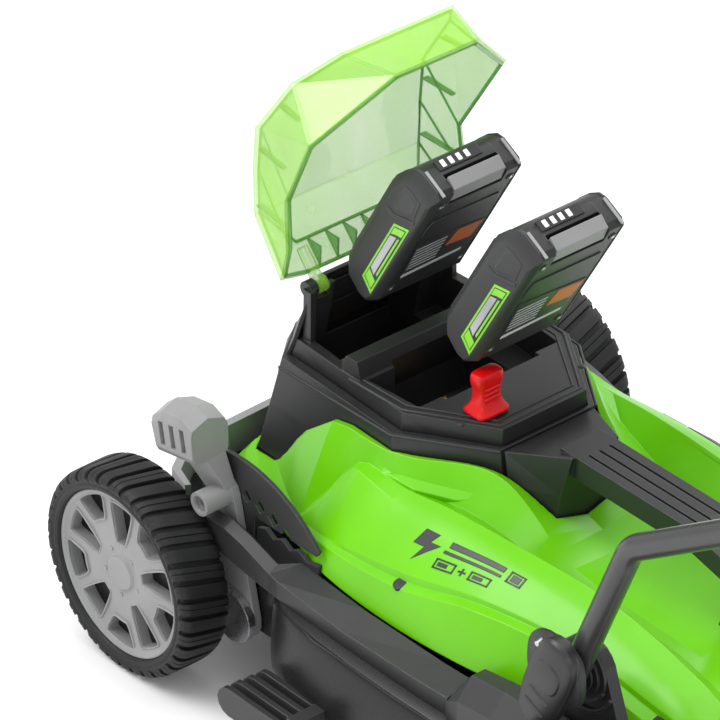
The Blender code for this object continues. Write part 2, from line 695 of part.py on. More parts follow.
def safety_key():
    centre = KEY_AT

    def ring(half_x, half_y, z):
        return [(centre[0] + sx * half_x, centre[1] + sy * half_y, z)
                for sx, sy in ((-1, -1), (1, -1), (1, 1), (-1, 1))]

    x, y = KEY_AT
    socket = box("key_socket", (x - 9, y - 9, 215), (x + 9, y + 9, 243), "black")
    slot = box("slot", (x - 6, y - 6, 220), (x + 6, y + 6, 250))
    cut(socket, slot)
    key = loft("safety_key", [
        ring(5.5, 5.5, 222), ring(5.5, 5.5, RIM_Z + GAP), ring(14, 11, RIM_Z + GAP),
        ring(15, 12, RIM_Z + 5), ring(11, 7.5, RIM_Z + 9), ring(9.5, 6.5, RIM_Z + 20),
        ring(12, 7, RIM_Z + 28), ring(12, 7, RIM_Z + 35),
    ], "red")
    pivot_at([key], *centre, RIM_Z)


# ---- wheels, cranks and height adjustment -----------------------------------------
def wheel(name, side, radius, width, track, axle):
    half = width / 2
    rim_r = radius * 0.81
    tread = radius - 3
    tyre = [(rim_r, half - 3), (rim_r + 6, half), (tread - 4, half), (tread, half - 3),
            (radius, half - 8), (radius, -half + 8), (tread, -half + 3), (tread - 4, -half),
            (rim_r + 6, -half), (rim_r, -half + 3)]
    middle = (side * track, *axle)
    tyre_object = turned(name + "_tyre", tyre, middle, side, "rubber", 36)
    hub = rim_r - GAP
    rim = [(0, half - 6), (17, half - 6), (21, half - 9), (rim_r * 0.80, half - 12),
           (rim_r * 0.86, half - 5), (hub, half - 5), (hub, -half + 5), (hub - 3.5, -half + 5),
           (hub - 4.5, half - 16), (20, half - 14), (14, half - 18), (14, -half + 2), (AXLE_R + GAP, -half + 2),
           (AXLE_R + GAP, half - 12), (0, half - 12)]
    rim_object = turned(name + "_rim", rim, middle, side, "light_grey", 36)
    windows = []
    for i in range(5):
        for offset, inner, outer, spread in ((0.0, 0.40, 0.75, 15.0), (36.0, 0.56, 0.78, 12.0)):
            turn = 90.0 + 72.0 * i + offset
            corners = []
            for fraction, angle in ((inner, -spread * 0.55), (outer, -spread), (outer, spread),
                                    (inner, spread * 0.55)):
                a = math.radians(turn + angle)
                corners.append((axle[0] + rim_r * fraction * math.cos(a),
                                axle[1] + rim_r * fraction * math.sin(a)))
            x0, x1 = sorted((side * (track + half), side * (track - half)))
            windows.append(side_plate("window", corners, x0, x1))
    cut(rim_object, *windows)
    pivot_at([tyre_object, rim_object], side * track, *axle)


def link_pin(pivot):
    """Where the link rod is pinned to the crank on this pivot."""
    return (pivot[0] + LINK_ARM * math.sin(LINK_PHASE),
            pivot[1] + LINK_ARM * math.cos(LINK_PHASE))


def cranked_axle(name, pivot, axle, stub_reach):
    """A pivot rod across the deck, an arm at each end and a stub for each wheel."""
    rod_part = rod(name, (-ARM_X, *pivot), (ARM_X, *pivot), AXLE_R, "steel", 24)
    for side in (-1, 1):
        x0, x1 = sorted((side * (ARM_X - ARM_THICK / 2), side * (ARM_X + ARM_THICK / 2)))
        arm = side_plate("arm", capsule(pivot, axle, 21, 12), x0, x1)
        stub = rod("stub", (side * (ARM_X - 1), *axle), (side * stub_reach, *axle), AXLE_R)
        join(rod_part, arm, stub)
    tip = link_pin(pivot)
    tab = side_plate("tab", capsule(pivot, tip, 8, 7.5), 118, 122)
    hole = rod("hole", (110, *tip), (130, *tip), 4.0)
    cut(join(rod_part, tab), hole)
    pivot_at([rod_part], 0, *pivot)
    return rod_part


def height_lever():
    """The lever on the left crank: foot, arm, clamp boss and a large domed grip."""
    def at(forward, up):
        dy, dz = tilt(forward, up, -LEVER_LEAN)
        return FRONT_PIVOT[0] + dy, FRONT_PIVOT[1] + dz

    outer, inner = -159.7, -153.4
    foot = side_plate("height_lever", capsule(FRONT_PIVOT, at(0, 100), 20, 15), outer, inner, "light_grey")
    arm = loft("arm", [
        [(x, *at(f, 96)) for x, f in ((outer, -14), (outer, 14), (inner, 14), (inner, -14))],
        [(x, *at(f, 145)) for x, f in ((-180, -9), (-180, 22), (-159, 22), (-159, -9))],
    ], "light_grey")
    grip_rings = []
    for x, low, high in ((-188, 139, 164), (-186, 135, 169), (-171, 133, 174), (-156, 135, 169),
                         (-154, 139, 164)):
        outline = ((-10, low), (32, low), (34, high - 7), (22, high), (0, high), (-12, high - 7))
        grip_rings.append([(x, *at(f, u)) for f, u in outline])
    grip = loft("grip", grip_rings, "light_grey")
    boss_y, boss_z = at(-5, 101)
    boss = rod("boss", (-184, boss_y, boss_z), (inner, boss_y, boss_z), 9.5, "light_grey", 24)
    lever = join(foot, arm, grip, boss)
    recess = rod("recess", (-192, boss_y, boss_z), (-176, boss_y, boss_z), 6.5)
    bore = rod("bore", (outer - 4, *FRONT_PIVOT), (inner + 4, *FRONT_PIVOT), AXLE_R + GAP)
    slots = []
    for f in (-1, 11, 23):
        corners = ((f - 2.6, 142), (f + 2.6, 142), (f + 2.6, 161), (f - 2.6, 161))
        slots.append(loft("slot", [[(x, *at(*corner)) for corner in corners] for x in (-192, -184)]))
    lever = cut(lever, recess, bore, *slots)
    screw = rod("lever_screw", (-181, boss_y, boss_z), (-176 - GAP, boss_y, boss_z), 5.6, "steel", 16)
    pivot_at([lever, screw], ARM_X, *FRONT_PIVOT)


def link_rod():
    """The rod that makes the rear cranks follow the front ones."""
    front, rear = link_pin(FRONT_PIVOT), link_pin(REAR_PIVOT)
    bar = side_plate("link_rod", capsule(front, rear, 7, 7), 123, 127, "steel")
    pin = rod("pin", (114, *front), (126, *front), 3.4)
    bar = join(bar, pin)
    pivot_at([bar], 120, *front)
    return bar


# ---- push handle ------------------------------------------------------------------
def handle_bracket(side, name):
    """The tall bracket that carries one side of the push handle."""
    y, z = HANDLE_PIVOT
    outline = ([(y - 40, 134), (y + 26, 134), (y + 22, 170)]
               + arc((y, z), 24, 10, 170, 10) + [(y - 36, 176)])
    x0, x1 = sorted((side * 145.5, side * 155))
    bracket = side_plate(name, outline, x0, x1, "black")
    hole = rod("hole", (side * 130, y, z), (side * 160, y, z), 5.0 + GAP)
    return cut(bracket, hole)


def lower_handle():
    y, z = HANDLE_PIVOT
    pieces = []
    for side, word in ((-1, "left"), (1, "right")):
        x = side * HANDLE_X
        path = rounded_path([(x, y - 6, z + 14), (x, y - 54, z + 132), (x, FOLD[0] - 13, FOLD[1] + 9)], 34)
        bar = tube(f"lower_handle_{word}", path, HANDLE_TUBE_R)
        fold_hole = rod("fold_hole", (x - 20, *FOLD), (x + 20, *FOLD), 4.3, segments=16)
        flat = side_plate("flat", capsule((y, z), (y - 8, z + 20), 13, 10), *sorted((x - 4, x + 4)))
        pin = rod("pin", (side * 140, y, z), (side * 172, y, z), 5.0, "black")
        pieces.append(cut(join(bar, flat, pin), fold_hole))
    pivot_at(pieces, 0, y, z)


def cam_lever(side, name):
    """The quick-release plate that clamps the handle, hinged along its front edge."""
    y, z = HANDLE_PIVOT
    x0, x1 = sorted((side * 175.2, side * 190))
    outline = [(y + 26, z - 30), (y + 34, z - 18), (y + 22, z + 30), (y + 8, z + 42), (y - 10, z + 38),
               (y - 22, z + 20), (y - 16, z - 8), (y - 2, z - 34), (y + 14, z - 48)]
    plate = side_plate(name, outline, x0, x1, "black")
    round_edges(plate, 3.0)
    pivot_at([plate], side * 174, y + 28, z)


def upper_handle():
    fold, grip = FOLD, GRIP
    x = HANDLE_X - 22
    low = (fold[0] + 26, fold[1] - 36)
    points = [(-x, *low), (-x, fold[0] - 60, fold[1] + 76), (-x - 12, grip[0] + 14, grip[1] - 42),
              (-x + 8, *grip), (x - 8, *grip), (x + 12, grip[0] + 14, grip[1] - 42),
              (x, fold[0] - 60, fold[1] + 76), (x, *low)]
    bar = tube("upper_handle", rounded_path(points, 38), HANDLE_TUBE_R)
    grip_sleeve = rod("grip_sleeve", (-95, *grip), (95, *grip), 13.5, "foam", 20)
    bore = rod("bore", (-100, *grip), (100, *grip), HANDLE_TUBE_R + 0.6)
    cut(grip_sleeve, bore)
    switch_y, switch_z = grip[0] + 62, grip[1] - 70
    switch = box("switch_box", (-x - 30, switch_y - 32, switch_z - 34),
                 (-x + 30, switch_y + 32, switch_z + 34))
    channel = tube("channel", rounded_path(points, 38), HANDLE_TUBE_R + 0.6)
    cut(switch, channel)
    well = rod("well", (-x + 14, switch_y - 15, switch_z), (-x + 14, switch_y - 34, switch_z), 8)
    cut(switch, well)
    button = rod("start_button", (-x + 14, switch_y - 22, switch_z),
                 (-x + 14, switch_y - 38, switch_z), 7, "grey")
    bail_y, bail_z = grip[0] + 34, grip[1] + 29
    bail_path = rounded_path([(-x + 22, switch_y, switch_z), (-x + 38, switch_y, switch_z),
                              (-x + 38, bail_y, bail_z), (x - 38, bail_y, bail_z),
                              (x - 38, switch_y, switch_z), (x - 3, switch_y, switch_z)], 20)
    bail = tube("bail_lever", bail_path, 3.5, "red")
    ends = [rod("bail_hole", (-x + 21, switch_y, switch_z), (-x + 32, switch_y, switch_z),
                3.9, segments=16),
            rod("bail_hole", (x - 4, switch_y, switch_z), (x - 20, switch_y, switch_z),
                3.9, segments=16)]
    cut(switch, ends[0])
    cut(bar, ends[1])
    pivot_at([bail], 0, switch_y, switch_z)
    pivot_at([button], -x + 14, switch_y - 38, switch_z)
    knobs = []
    for side, word in ((-1, "left"), (1, "right")):
        knob = rod(f"fold_knob_{word}", (side * (HANDLE_X + 10), *fold), (side * (HANDLE_X + 32), *fold),
                   19, "black", 20, end_radius=15)
        bolt = rod("bolt", (side * (x + HANDLE_TUBE_R + 0.4), *fold), (side * (HANDLE_X + 12), *fold), 4.0,
                   segments=16)
        knobs.append(join(knob, bolt))
    pivot_at([bar, grip_sleeve, switch, *knobs], 0, *fold)


def rear_flap():
    flap = loft("rear_flap", [[(-112, y, z), (112, y, z), (112, y - 4, z), (-112, y - 4, z)]
                              for y, z in ((-553, 62), (-553, 140))], "black")
    pivot_at([flap], 0, -555, 138)
    return flap


def controller():
    return box("motor_controller", (-45, -204, DECK_TOP + GAP), (45, -150, 140), "steel")


clear_scene()
MOWER = make_collection("push_lawn_mower")
CUTTERS = make_collection("cutters")
MATERIALS = {name: make_material(name) for name in COLOURS}

deck()
front_bumper()
for SIDE, WORD in ((-1, "left"), (1, "right")):
    deck_rail(SIDE, f"deck_rail_{WORD}")
    fender(SIDE, f"rear_fender_{WORD}")
    grass_comb(SIDE, f"grass_comb_{WORD}")
    handle_bracket(SIDE, f"handle_bracket_{WORD}")
    cam_lever(SIDE, f"cam_lever_{WORD}")
    lid_hinge_pin(SIDE, f"lid_hinge_pin_{WORD}")
    wheel(f"front_wheel_{WORD}", SIDE, FRONT_WHEEL_R, FRONT_TYRE_WIDTH, FRONT_TRACK_X, (0.0, FRONT_WHEEL_R))
    wheel(f"rear_wheel_{WORD}", SIDE, REAR_WHEEL_R, REAR_TYRE_WIDTH, REAR_TRACK_X, REAR_AXLE)
height_quadrant()
motor()
cutting_set()
controller()
top_cover()
battery_housing()
housing_shroud()
carry_handle()
battery_lid()
for WHICH in ("front", "rear"):
    battery(WHICH)
    terminal_block(WHICH)
safety_key()
cranked_axle("front_axle", FRONT_PIVOT, (0.0, FRONT_WHEEL_R), FRONT_TRACK_X + 8)
cranked_axle("rear_axle", REAR_PIVOT, REAR_AXLE, REAR_TRACK_X + 8)
height_lever()
link_rod()
lower_handle()
upper_handle()
rear_flap()
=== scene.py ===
"""Looks for the push mower: materials, studio, camera and the detailed pieces that stand for CAD nodes."""
import json
import math

import bmesh
import bpy
from mathutils import Matrix, Vector


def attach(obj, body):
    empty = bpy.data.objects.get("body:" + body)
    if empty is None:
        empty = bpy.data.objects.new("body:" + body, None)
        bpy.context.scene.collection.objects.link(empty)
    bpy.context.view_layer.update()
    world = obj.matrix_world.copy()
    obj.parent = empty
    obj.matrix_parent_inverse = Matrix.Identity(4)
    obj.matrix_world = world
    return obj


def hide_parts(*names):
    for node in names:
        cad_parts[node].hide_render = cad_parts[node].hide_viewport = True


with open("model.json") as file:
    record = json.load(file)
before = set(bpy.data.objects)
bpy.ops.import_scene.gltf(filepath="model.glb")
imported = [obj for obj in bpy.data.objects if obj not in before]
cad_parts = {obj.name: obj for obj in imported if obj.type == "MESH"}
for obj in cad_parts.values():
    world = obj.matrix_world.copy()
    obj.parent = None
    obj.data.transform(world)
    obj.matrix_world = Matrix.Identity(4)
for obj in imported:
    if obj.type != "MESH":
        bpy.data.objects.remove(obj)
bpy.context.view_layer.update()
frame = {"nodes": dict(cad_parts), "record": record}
AXLE_Y = 543.0      # front axle, mm from the middle of the machine


def place(x, y, z):
    """Millimetres from under the front axle, as metres in the shared frame."""
    return Vector((x, y + AXLE_Y, z)) * 0.001


# ---- materials --------------------------------------------------------------------
def new_material(name):
    material = bpy.data.materials.new(name)
    material.use_nodes = True
    tree = material.node_tree
    return material, tree, tree.nodes["Principled BSDF"]


def put(tree, socket, value):
    """Link another node's output to the socket, or set a plain value on the socket itself."""
    if isinstance(value, bpy.types.NodeSocket):
        tree.links.new(value, socket)
    else:
        socket.default_value = value


def feed(tree, target, **inputs):
    """Fill a node's sockets by name, with _ for a space."""
    for key, value in inputs.items():
        put(tree, target.inputs[key.replace("_", " ")], value)
    return target


def node(tree, kind, **inputs):
    return feed(tree, tree.nodes.new(kind), **inputs)


def noise(tree, scale, detail=3.0, rough=0.55, stretch=None):
    source = node(tree, "ShaderNodeTexCoord").outputs["Object"]
    if stretch:
        source = node(tree, "ShaderNodeMapping", Scale=stretch, Vector=source).outputs["Vector"]
    return node(tree, "ShaderNodeTexNoise", Scale=scale, Detail=detail, Roughness=rough,
                Vector=source).outputs["Fac"]


def remap(tree, value, low=0.3, high=0.7, to_low=0.0, to_high=1.0):
    return node(tree, "ShaderNodeMapRange", Value=value, From_Min=low, From_Max=high,
                To_Min=to_low, To_Max=to_high).outputs["Result"]


def math_node(tree, operation, a, b):
    made = node(tree, "ShaderNodeMath")
    made.operation = operation
    put(tree, made.inputs[0], a)
    put(tree, made.inputs[1], b)
    return made.outputs[0]


def scaled(colour, factor):
    return tuple(min(1.0, c * factor) for c in colour)


def mix_colour(tree, factor, a, b):
    made = node(tree, "ShaderNodeMix")
    made.data_type = "RGBA"
    put(tree, made.inputs[0], factor)
    for socket, value in ((made.inputs[6], a), (made.inputs[7], b)):
        put(tree, socket, (*value, 1.0) if isinstance(value, tuple) else value)
    return made.outputs[2]


def edge_mask(tree, radius):
    """1 on edges that a rounding of this radius would touch, 0 on open faces; and its normal."""
    rounded = node(tree, "ShaderNodeBevel", Radius=radius)
    rounded.samples = 4
    dot = node(tree, "ShaderNodeVectorMath")
    dot.operation = "DOT_PRODUCT"
    put(tree, dot.inputs[0], rounded.outputs["Normal"])
    put(tree, dot.inputs[1], node(tree, "ShaderNodeNewGeometry").outputs["Normal"])
    return remap(tree, dot.outputs["Value"], 0.99, 0.75), rounded.outputs["Normal"]


def surface_bump(tree, height, strength, distance, **normal):
    return node(tree, "ShaderNodeBump", Height=height, Strength=strength, Distance=distance,
                **normal).outputs["Normal"]


def plastic(name, colour, roughness, grain, bump, edge_highlight, edge=0.0009, mottle=0.10, gloss=0.5,
            coat=0.0, stretch=None):
    """Moulded plastic: fine texture, slow tone drift, rounded edges painted lighter as a highlight."""
    material, tree, shader = new_material(name)
    fine = noise(tree, grain, 2.0, 0.6, stretch)
    tone = mix_colour(tree, remap(tree, noise(tree, 14.0, 4.0)), scaled(colour, 1.0 - mottle),
                      scaled(colour, 1.0 + mottle))
    mask, rounded = edge_mask(tree, edge)
    # painted highlight: edges are mixed toward the lighter edge colour, broken up by noise
    painted_edge_highlight = math_node(tree, "MULTIPLY", mask, remap(tree, noise(tree, 60.0), 0.35, 0.65, 0.35, 0.8))
    feed(tree, shader, Base_Color=mix_colour(tree, painted_edge_highlight, tone, edge_highlight),
         Roughness=remap(tree, fine, to_low=roughness - 0.05, to_high=roughness + 0.06),
         Normal=surface_bump(tree, fine, bump, 0.00012, Normal=rounded),
         Specular_IOR_Level=gloss, Coat_Weight=coat, Coat_Roughness=0.06)
    return material


def clear_plastic(name, colour, alpha, edge_colour=(0.10, 0.44, 0.03)):
    """Tinted clear plastic: flow lines in the sheet, deeper green where it is seen edge on."""
    material, tree, shader = new_material(name)
    mask, rounded = edge_mask(tree, 0.0014)
    slow = noise(tree, 22.0, 3.0, 0.5, (1.0, 1.0, 0.35))
    tone = mix_colour(tree, remap(tree, slow), scaled(colour, 0.88), colour)
    thick = math_node(tree, "ADD", math_node(tree, "MULTIPLY", mask, 0.45),
                      remap(tree, slow, to_low=alpha - 0.03, to_high=alpha + 0.04))
    feed(tree, shader, Base_Color=mix_colour(tree, mask, tone, edge_colour), Alpha=thick,
         Roughness=remap(tree, noise(tree, 300.0), to_low=0.04, to_high=0.09),
         Normal=surface_bump(tree, noise(tree, 35.0), 0.03, 0.0006, Normal=rounded),
         Specular_IOR_Level=0.8)
    return material


def metal(name, colour, roughness=0.3):
    """Metal with drawn or turned marks and edges painted lighter as a highlight."""
    material, tree, shader = new_material(name)
    marks = noise(tree, 260.0, 4.0, 0.6, (1.0, 1.0, 14.0))
    mask, rounded = edge_mask(tree, 0.0006)
    tone = mix_colour(tree, remap(tree, marks), scaled(colour, 0.82), scaled(colour, 1.1))
    # painted highlight: edges mixed toward a lighter copy of the colour
    feed(tree, shader, Base_Color=mix_colour(tree, mask, tone, scaled(colour, 1.3)), Metallic=1.0,
         Roughness=remap(tree, marks, to_low=roughness - 0.07, to_high=roughness + 0.1),
         Normal=surface_bump(tree, marks, 0.2, 0.00008, Normal=rounded))
    return material


def foam(name):
    """Closed-cell foam: soft pitted surface."""
    material, tree, shader = new_material(name)
    coords = node(tree, "ShaderNodeTexCoord").outputs["Object"]
    pits = node(tree, "ShaderNodeTexVoronoi", Scale=620.0, Vector=coords).outputs["Distance"]
    tone = mix_colour(tree, remap(tree, pits, 0.0, 0.6), (0.028, 0.028, 0.03), (0.012, 0.012, 0.013))
    feed(tree, shader, Base_Color=tone, Sheen_Weight=0.2, Specular_IOR_Level=0.25,
         Roughness=remap(tree, noise(tree, 90.0), to_low=0.82, to_high=0.95),
         Normal=surface_bump(tree, pits, 0.6, 0.0004))
    return material


# the sixth value of each plastic is the lighter colour painted along its edges as a highlight
GREEN = plastic("gloss_green", (0.140, 0.535, 0.001), 0.33, 900.0, 0.03, (0.42, 0.86, 0.10),
                0.0014, 0.05, 0.34, 0.04)
DECK = plastic("deck_black", (0.027, 0.027, 0.028), 0.42, 1300.0, 0.22, (0.16, 0.16, 0.165), 0.0012)
BLACK = plastic("satin_black", (0.018, 0.018, 0.019), 0.38, 1500.0, 0.2, (0.13, 0.13, 0.135), 0.001)
DARK = plastic("charcoal", (0.024, 0.024, 0.026), 0.45, 1500.0, 0.28, (0.11, 0.11, 0.115), 0.001,
               0.10, 0.38)
GREY = plastic("lever_grey", (0.250, 0.250, 0.252), 0.42, 1200.0, 0.2, (0.45, 0.45, 0.45), 0.001)
WHEEL = plastic("wheel_grey", (0.250, 0.250, 0.254), 0.4, 1100.0, 0.18, (0.62, 0.62, 0.62), 0.0012)
BUTTON = plastic("button_grey", (0.300, 0.300, 0.305), 0.4, 1200.0, 0.2, (0.5, 0.5, 0.5), 0.0007)
RUBBER = plastic("tread_black", (0.012, 0.012, 0.013), 0.55, 700.0, 0.5, (0.035, 0.035, 0.035),
                 0.0007, 0.2, 0.35)
RED = plastic("key_red", (0.640, 0.001, 0.003), 0.30, 1000.0, 0.08, (0.85, 0.10, 0.09), 0.0008,
              0.05, 0.35, 0.1)
TUBE = plastic("tube_coat", (0.030, 0.030, 0.032), 0.34, 800.0, 0.35, (0.08, 0.08, 0.08), 0.0008,
               0.12, 0.5, 0.2)
STEEL = metal("bright_steel", (0.62, 0.62, 0.64))
MOTOR = plastic("motor_paint", (0.070, 0.070, 0.072), 0.5, 500.0, 0.5, (0.2, 0.2, 0.2), 0.001)
CONTACT = metal("contact_metal", (0.78, 0.55, 0.26), 0.28)
CLEAR = clear_plastic("clear_green", (0.36, 0.76, 0.05), 0.46)
TINTED = clear_plastic("deep_clear_green", (0.12, 0.46, 0.03), 0.62, (0.05, 0.30, 0.01))
FOAM = foam("grip_foam")

FINISH = {"deck_plastic": DECK, "black_plastic": BLACK, "grey_plastic": GREY,
          "wheel_grey": WHEEL, "green_plastic": GREEN, "clear_green": CLEAR,
          "red_plastic": RED, "tyre": RUBBER, "foam": FOAM, "black_tube": TUBE,
          "steel": STEEL, "motor_metal": MOTOR, "contact_metal": CONTACT}
NODE_SLOT = {part["node"]: part["material_slot"] for part in frame["record"]["subparts"]}


def dress(obj, material):
    obj.data.materials.clear()
    obj.data.materials.append(material)


for node_name, node_object in frame["nodes"].items():
    dress(node_object, FINISH[NODE_SLOT[node_name]])


# ---- mesh helpers -----------------------------------------------------------------
def mesh_object(name, bm):
    """A linked object from a bmesh, which it uses up."""
    mesh = bpy.data.meshes.new(name)
    bm.to_mesh(mesh)
    bm.free()
    obj = bpy.data.objects.new(name, mesh)
    bpy.context.scene.collection.objects.link(obj)
    return obj


def shade(mesh, angle):
    mesh.shade_smooth()
    mesh.set_sharp_from_angle(angle=math.radians(angle))


def finish_mesh(name, bm, materials, body, replaces=(), bevel=0.0, segments=2,
                angle=35.0):
    """A shown piece from a bmesh in shared-frame metres, its sharp edges rounded."""
    bmesh.ops.remove_doubles(bm, verts=bm.verts, dist=1e-6)
    bmesh.ops.recalc_face_normals(bm, faces=bm.faces)
    obj = mesh_object(name, bm)
    shade(obj.data, angle)
    for material in materials if isinstance(materials, list) else [materials]:
        obj.data.materials.append(material)
    if bevel:
        round_it(obj, bevel, segments, angle)
    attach(obj, body)
    if replaces:
        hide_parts(*replaces)
    return obj


def round_it(obj, width, segments=2, angle=35.0):
    """Bevel the edges sharper than the angle in degrees; width in mm."""
    bevel = obj.modifiers.new("Edges", "BEVEL")
    bevel.width = width * 0.001
    bevel.segments = segments
    bevel.limit_method = "ANGLE"
    bevel.angle_limit = math.radians(angle)
    bevel.harden_normals = True


def carve(obj, bm):
    """Subtract the bmesh's solid from the piece and bake the result into its mesh."""
    bmesh.ops.recalc_face_normals(bm, faces=bm.faces)
    cutter = mesh_object("cutter", bm)
    modifier = obj.modifiers.new("Cut", "BOOLEAN")
    modifier.operation = "DIFFERENCE"
    modifier.solver = "EXACT"
    modifier.object = cutter
    bpy.context.view_layer.update()
    graph = bpy.context.evaluated_depsgraph_get()
    mesh = bpy.data.meshes.new_from_object(obj.evaluated_get(graph))
    obj.modifiers.clear()
    obj.data = mesh
    shade(mesh, 35.0)
    bpy.data.objects.remove(cutter, do_unlink=True)


def add_loft(bm, rings, material=0, caps=True, around=False):
    """Skin rings of world points, all of one count; around also joins the last to the first."""
    layers = [[bm.verts.new(point) for point in ring] for ring in rings]
    count = len(layers[0])
    faces = []
    for lower, upper in zip(layers, layers[1:] + layers[:1] if around else layers[1:]):
        for i in range(count):
            j = (i + 1) % count
            faces.append(bm.faces.new((lower[i], lower[j], upper[j], upper[i])))
    if caps and not around:
        faces.append(bm.faces.new(layers[0]))
        faces.append(bm.faces.new(layers[-1]))
    for face in faces:
        face.material_index = material


def circle(radius, count):
    for i in range(count):
        angle = 2.0 * math.pi * i / count
        yield radius * math.cos(angle), radius * math.sin(angle)


def round_ring(centre, along, radius, sides):
    """A circle about a world point, square to the way along; radius in mm."""
    turn = along.to_track_quat("Z", "Y")
    return [centre + turn @ Vector((u, v, 0.0)) * 0.001 for u, v in circle(radius, sides)]


def add_rod(bm, start, end, radius, sides=20, material=0):
    """A round bar between two world points, radius in mm."""
    add_loft(bm, [round_ring(centre, end - start, radius, sides) for centre in (start, end)],
             material)


def add_bead(bm, points, radius):
    """A ten-sided bead through world points, radius in mm."""
    rings = []
    for i, point in enumerate(points):
        along = points[min(len(points) - 1, i + 1)] - points[max(0, i - 1)]
        rings.append(round_ring(point, along, radius, 10))
    add_loft(bm, rings)


def smooth_ring(points, rounds=2):
    """Corner cutting on a closed outline."""
    for _ in range(rounds):
        cut = []
        for a, b in zip(points, points[1:] + points[:1]):
            cut.append(tuple(0.8 * p + 0.2 * q for p, q in zip(a, b)))
            cut.append(tuple(0.2 * p + 0.8 * q for p, q in zip(a, b)))
        points = cut
    return points


def grown(points, distance):
    """A closed planar outline moved outward by distance; it runs either way round."""
    area = sum(a[0] * b[1] - b[0] * a[1] for a, b in zip(points, points[1:] + points[:1]))
    sign = 1.0 if area > 0 else -1.0
    out = []
    for before, here, after in zip(points[-1:] + points[:-1], points, points[1:] + points[:1]):
        along = Vector((after[0] - before[0], after[1] - before[1]))
        normal = Vector((along.y, -along.x)).normalized() * sign
        out.append((here[0] + normal.x * distance, here[1] + normal.y * distance))
    return out


# ---- wheels -----------------------------------------------------------------------
TREAD_BLOCKS = 36
GROOVE_DEPTH = 3.6
# from the edge of the sidewall to the middle: mm below the tyre's radius, mm in from its side
# and the share of the groove depth that is cut there
TREAD_PROFILE = ((8.0, 0.0, 0), (6.0, 0.0, 0.45), (3.4, 0.9, 0.8), (1.2, 3.4, 1.0),
                 (0.2, 7.0, 1.0), (0.0, 12.0, 1.0), (0.0, 20.4, 1.0))
# along one block and its groove: share of the pitch and depth of the cut there
TREAD_STEPS = ((0.0, 1.0), (0.035, 0.0), (0.36, 0.0), (0.40, 0.35), (0.44, 0.0), (0.70, 0.0),
               (0.735, 1.0))
RIM_SHARE = 0.81    # radius of the rim's edge as a share of the tyre's
# end, middle of the tyre from the machine's, (forward, up) of the axle, radius and width
WHEEL_PAIRS = (("front", 198.0, (0.0, 82.5), 82.5, 44.0),
               ("rear", 212.0, (-470.0, 90.0), 90.0, 44.0))
SIDES = ((-1, "left"), (1, "right"))


def wheel_mapper(side, track, axle):
    """(rearward, up, outward) from the wheel's middle, mm, to world metres."""
    def to_world(rearward, up, out):
        return place(side * (track + out), axle[0] - rearward, axle[1] + up)
    return to_world


def tyre(name, side, track, axle, radius, width, body):
    """Block tread with slanted lateral grooves, shoulder nicks and a beaded inner edge."""
    at = wheel_mapper(side, track, axle)
    half = width / 2
    rim_r = radius * RIM_SHARE + 0.2
    tread = [(radius - dip, half - inset, weight) for dip, inset, weight in TREAD_PROFILE]
    profile = [(rim_r, half - 3.2, 0), (rim_r + 1.2, half - 1.2, 0), (rim_r + 3.5, half - 0.4, 0),
               (rim_r + 5.5, half - 1.0, 0), *tread,
               *((r, -out, weight) for r, out, weight in reversed(tread)),
               (rim_r + 3.5, -half + 0.4, 0), (rim_r, -half + 3.2, 0)]
    pitch = 2.0 * math.pi / TREAD_BLOCKS
    rings = []
    for block in range(TREAD_BLOCKS):
        long_block = block % 2 == 0
        for share, depth in TREAD_STEPS:
            ring = []
            for r, out, weight in profile:
                slant = 0.075 * out / half
                angle = (block + share) * pitch + (slant if weight else slant * 0.5)
                sunk = GROOVE_DEPTH * depth * weight
                if depth == 0.35 and not long_block:
                    sunk = 0.0
                if weight == 0.45 and not long_block:
                    sunk *= 0.2
                side_cut = 1.3 * depth if 0.3 < weight < 0.9 else 0.0
                reach = out - math.copysign(side_cut, out)
                ring.append(at((r - sunk) * math.cos(angle), (r - sunk) * math.sin(angle), reach))
            rings.append(ring)
    bm = bmesh.new()
    add_loft(bm, rings, around=True)
    return finish_mesh(name + "_tread", bm, RUBBER, body, [name + "_tyre"], angle=28.0)


def wedge(centre, inner, outer, spread_in, spread_out):
    """Outline of a rounded wheel window between two radii, angles in degrees."""
    points = []
    for i in range(7):
        angle = math.radians(centre - spread_out + 2 * spread_out * i / 6)
        points.append((outer * math.cos(angle), outer * math.sin(angle)))
    for i in range(4):
        angle = math.radians(centre + spread_in - 2 * spread_in * i / 3)
        points.append((inner * math.cos(angle), inner * math.sin(angle)))
    return smooth_ring(points, 2)


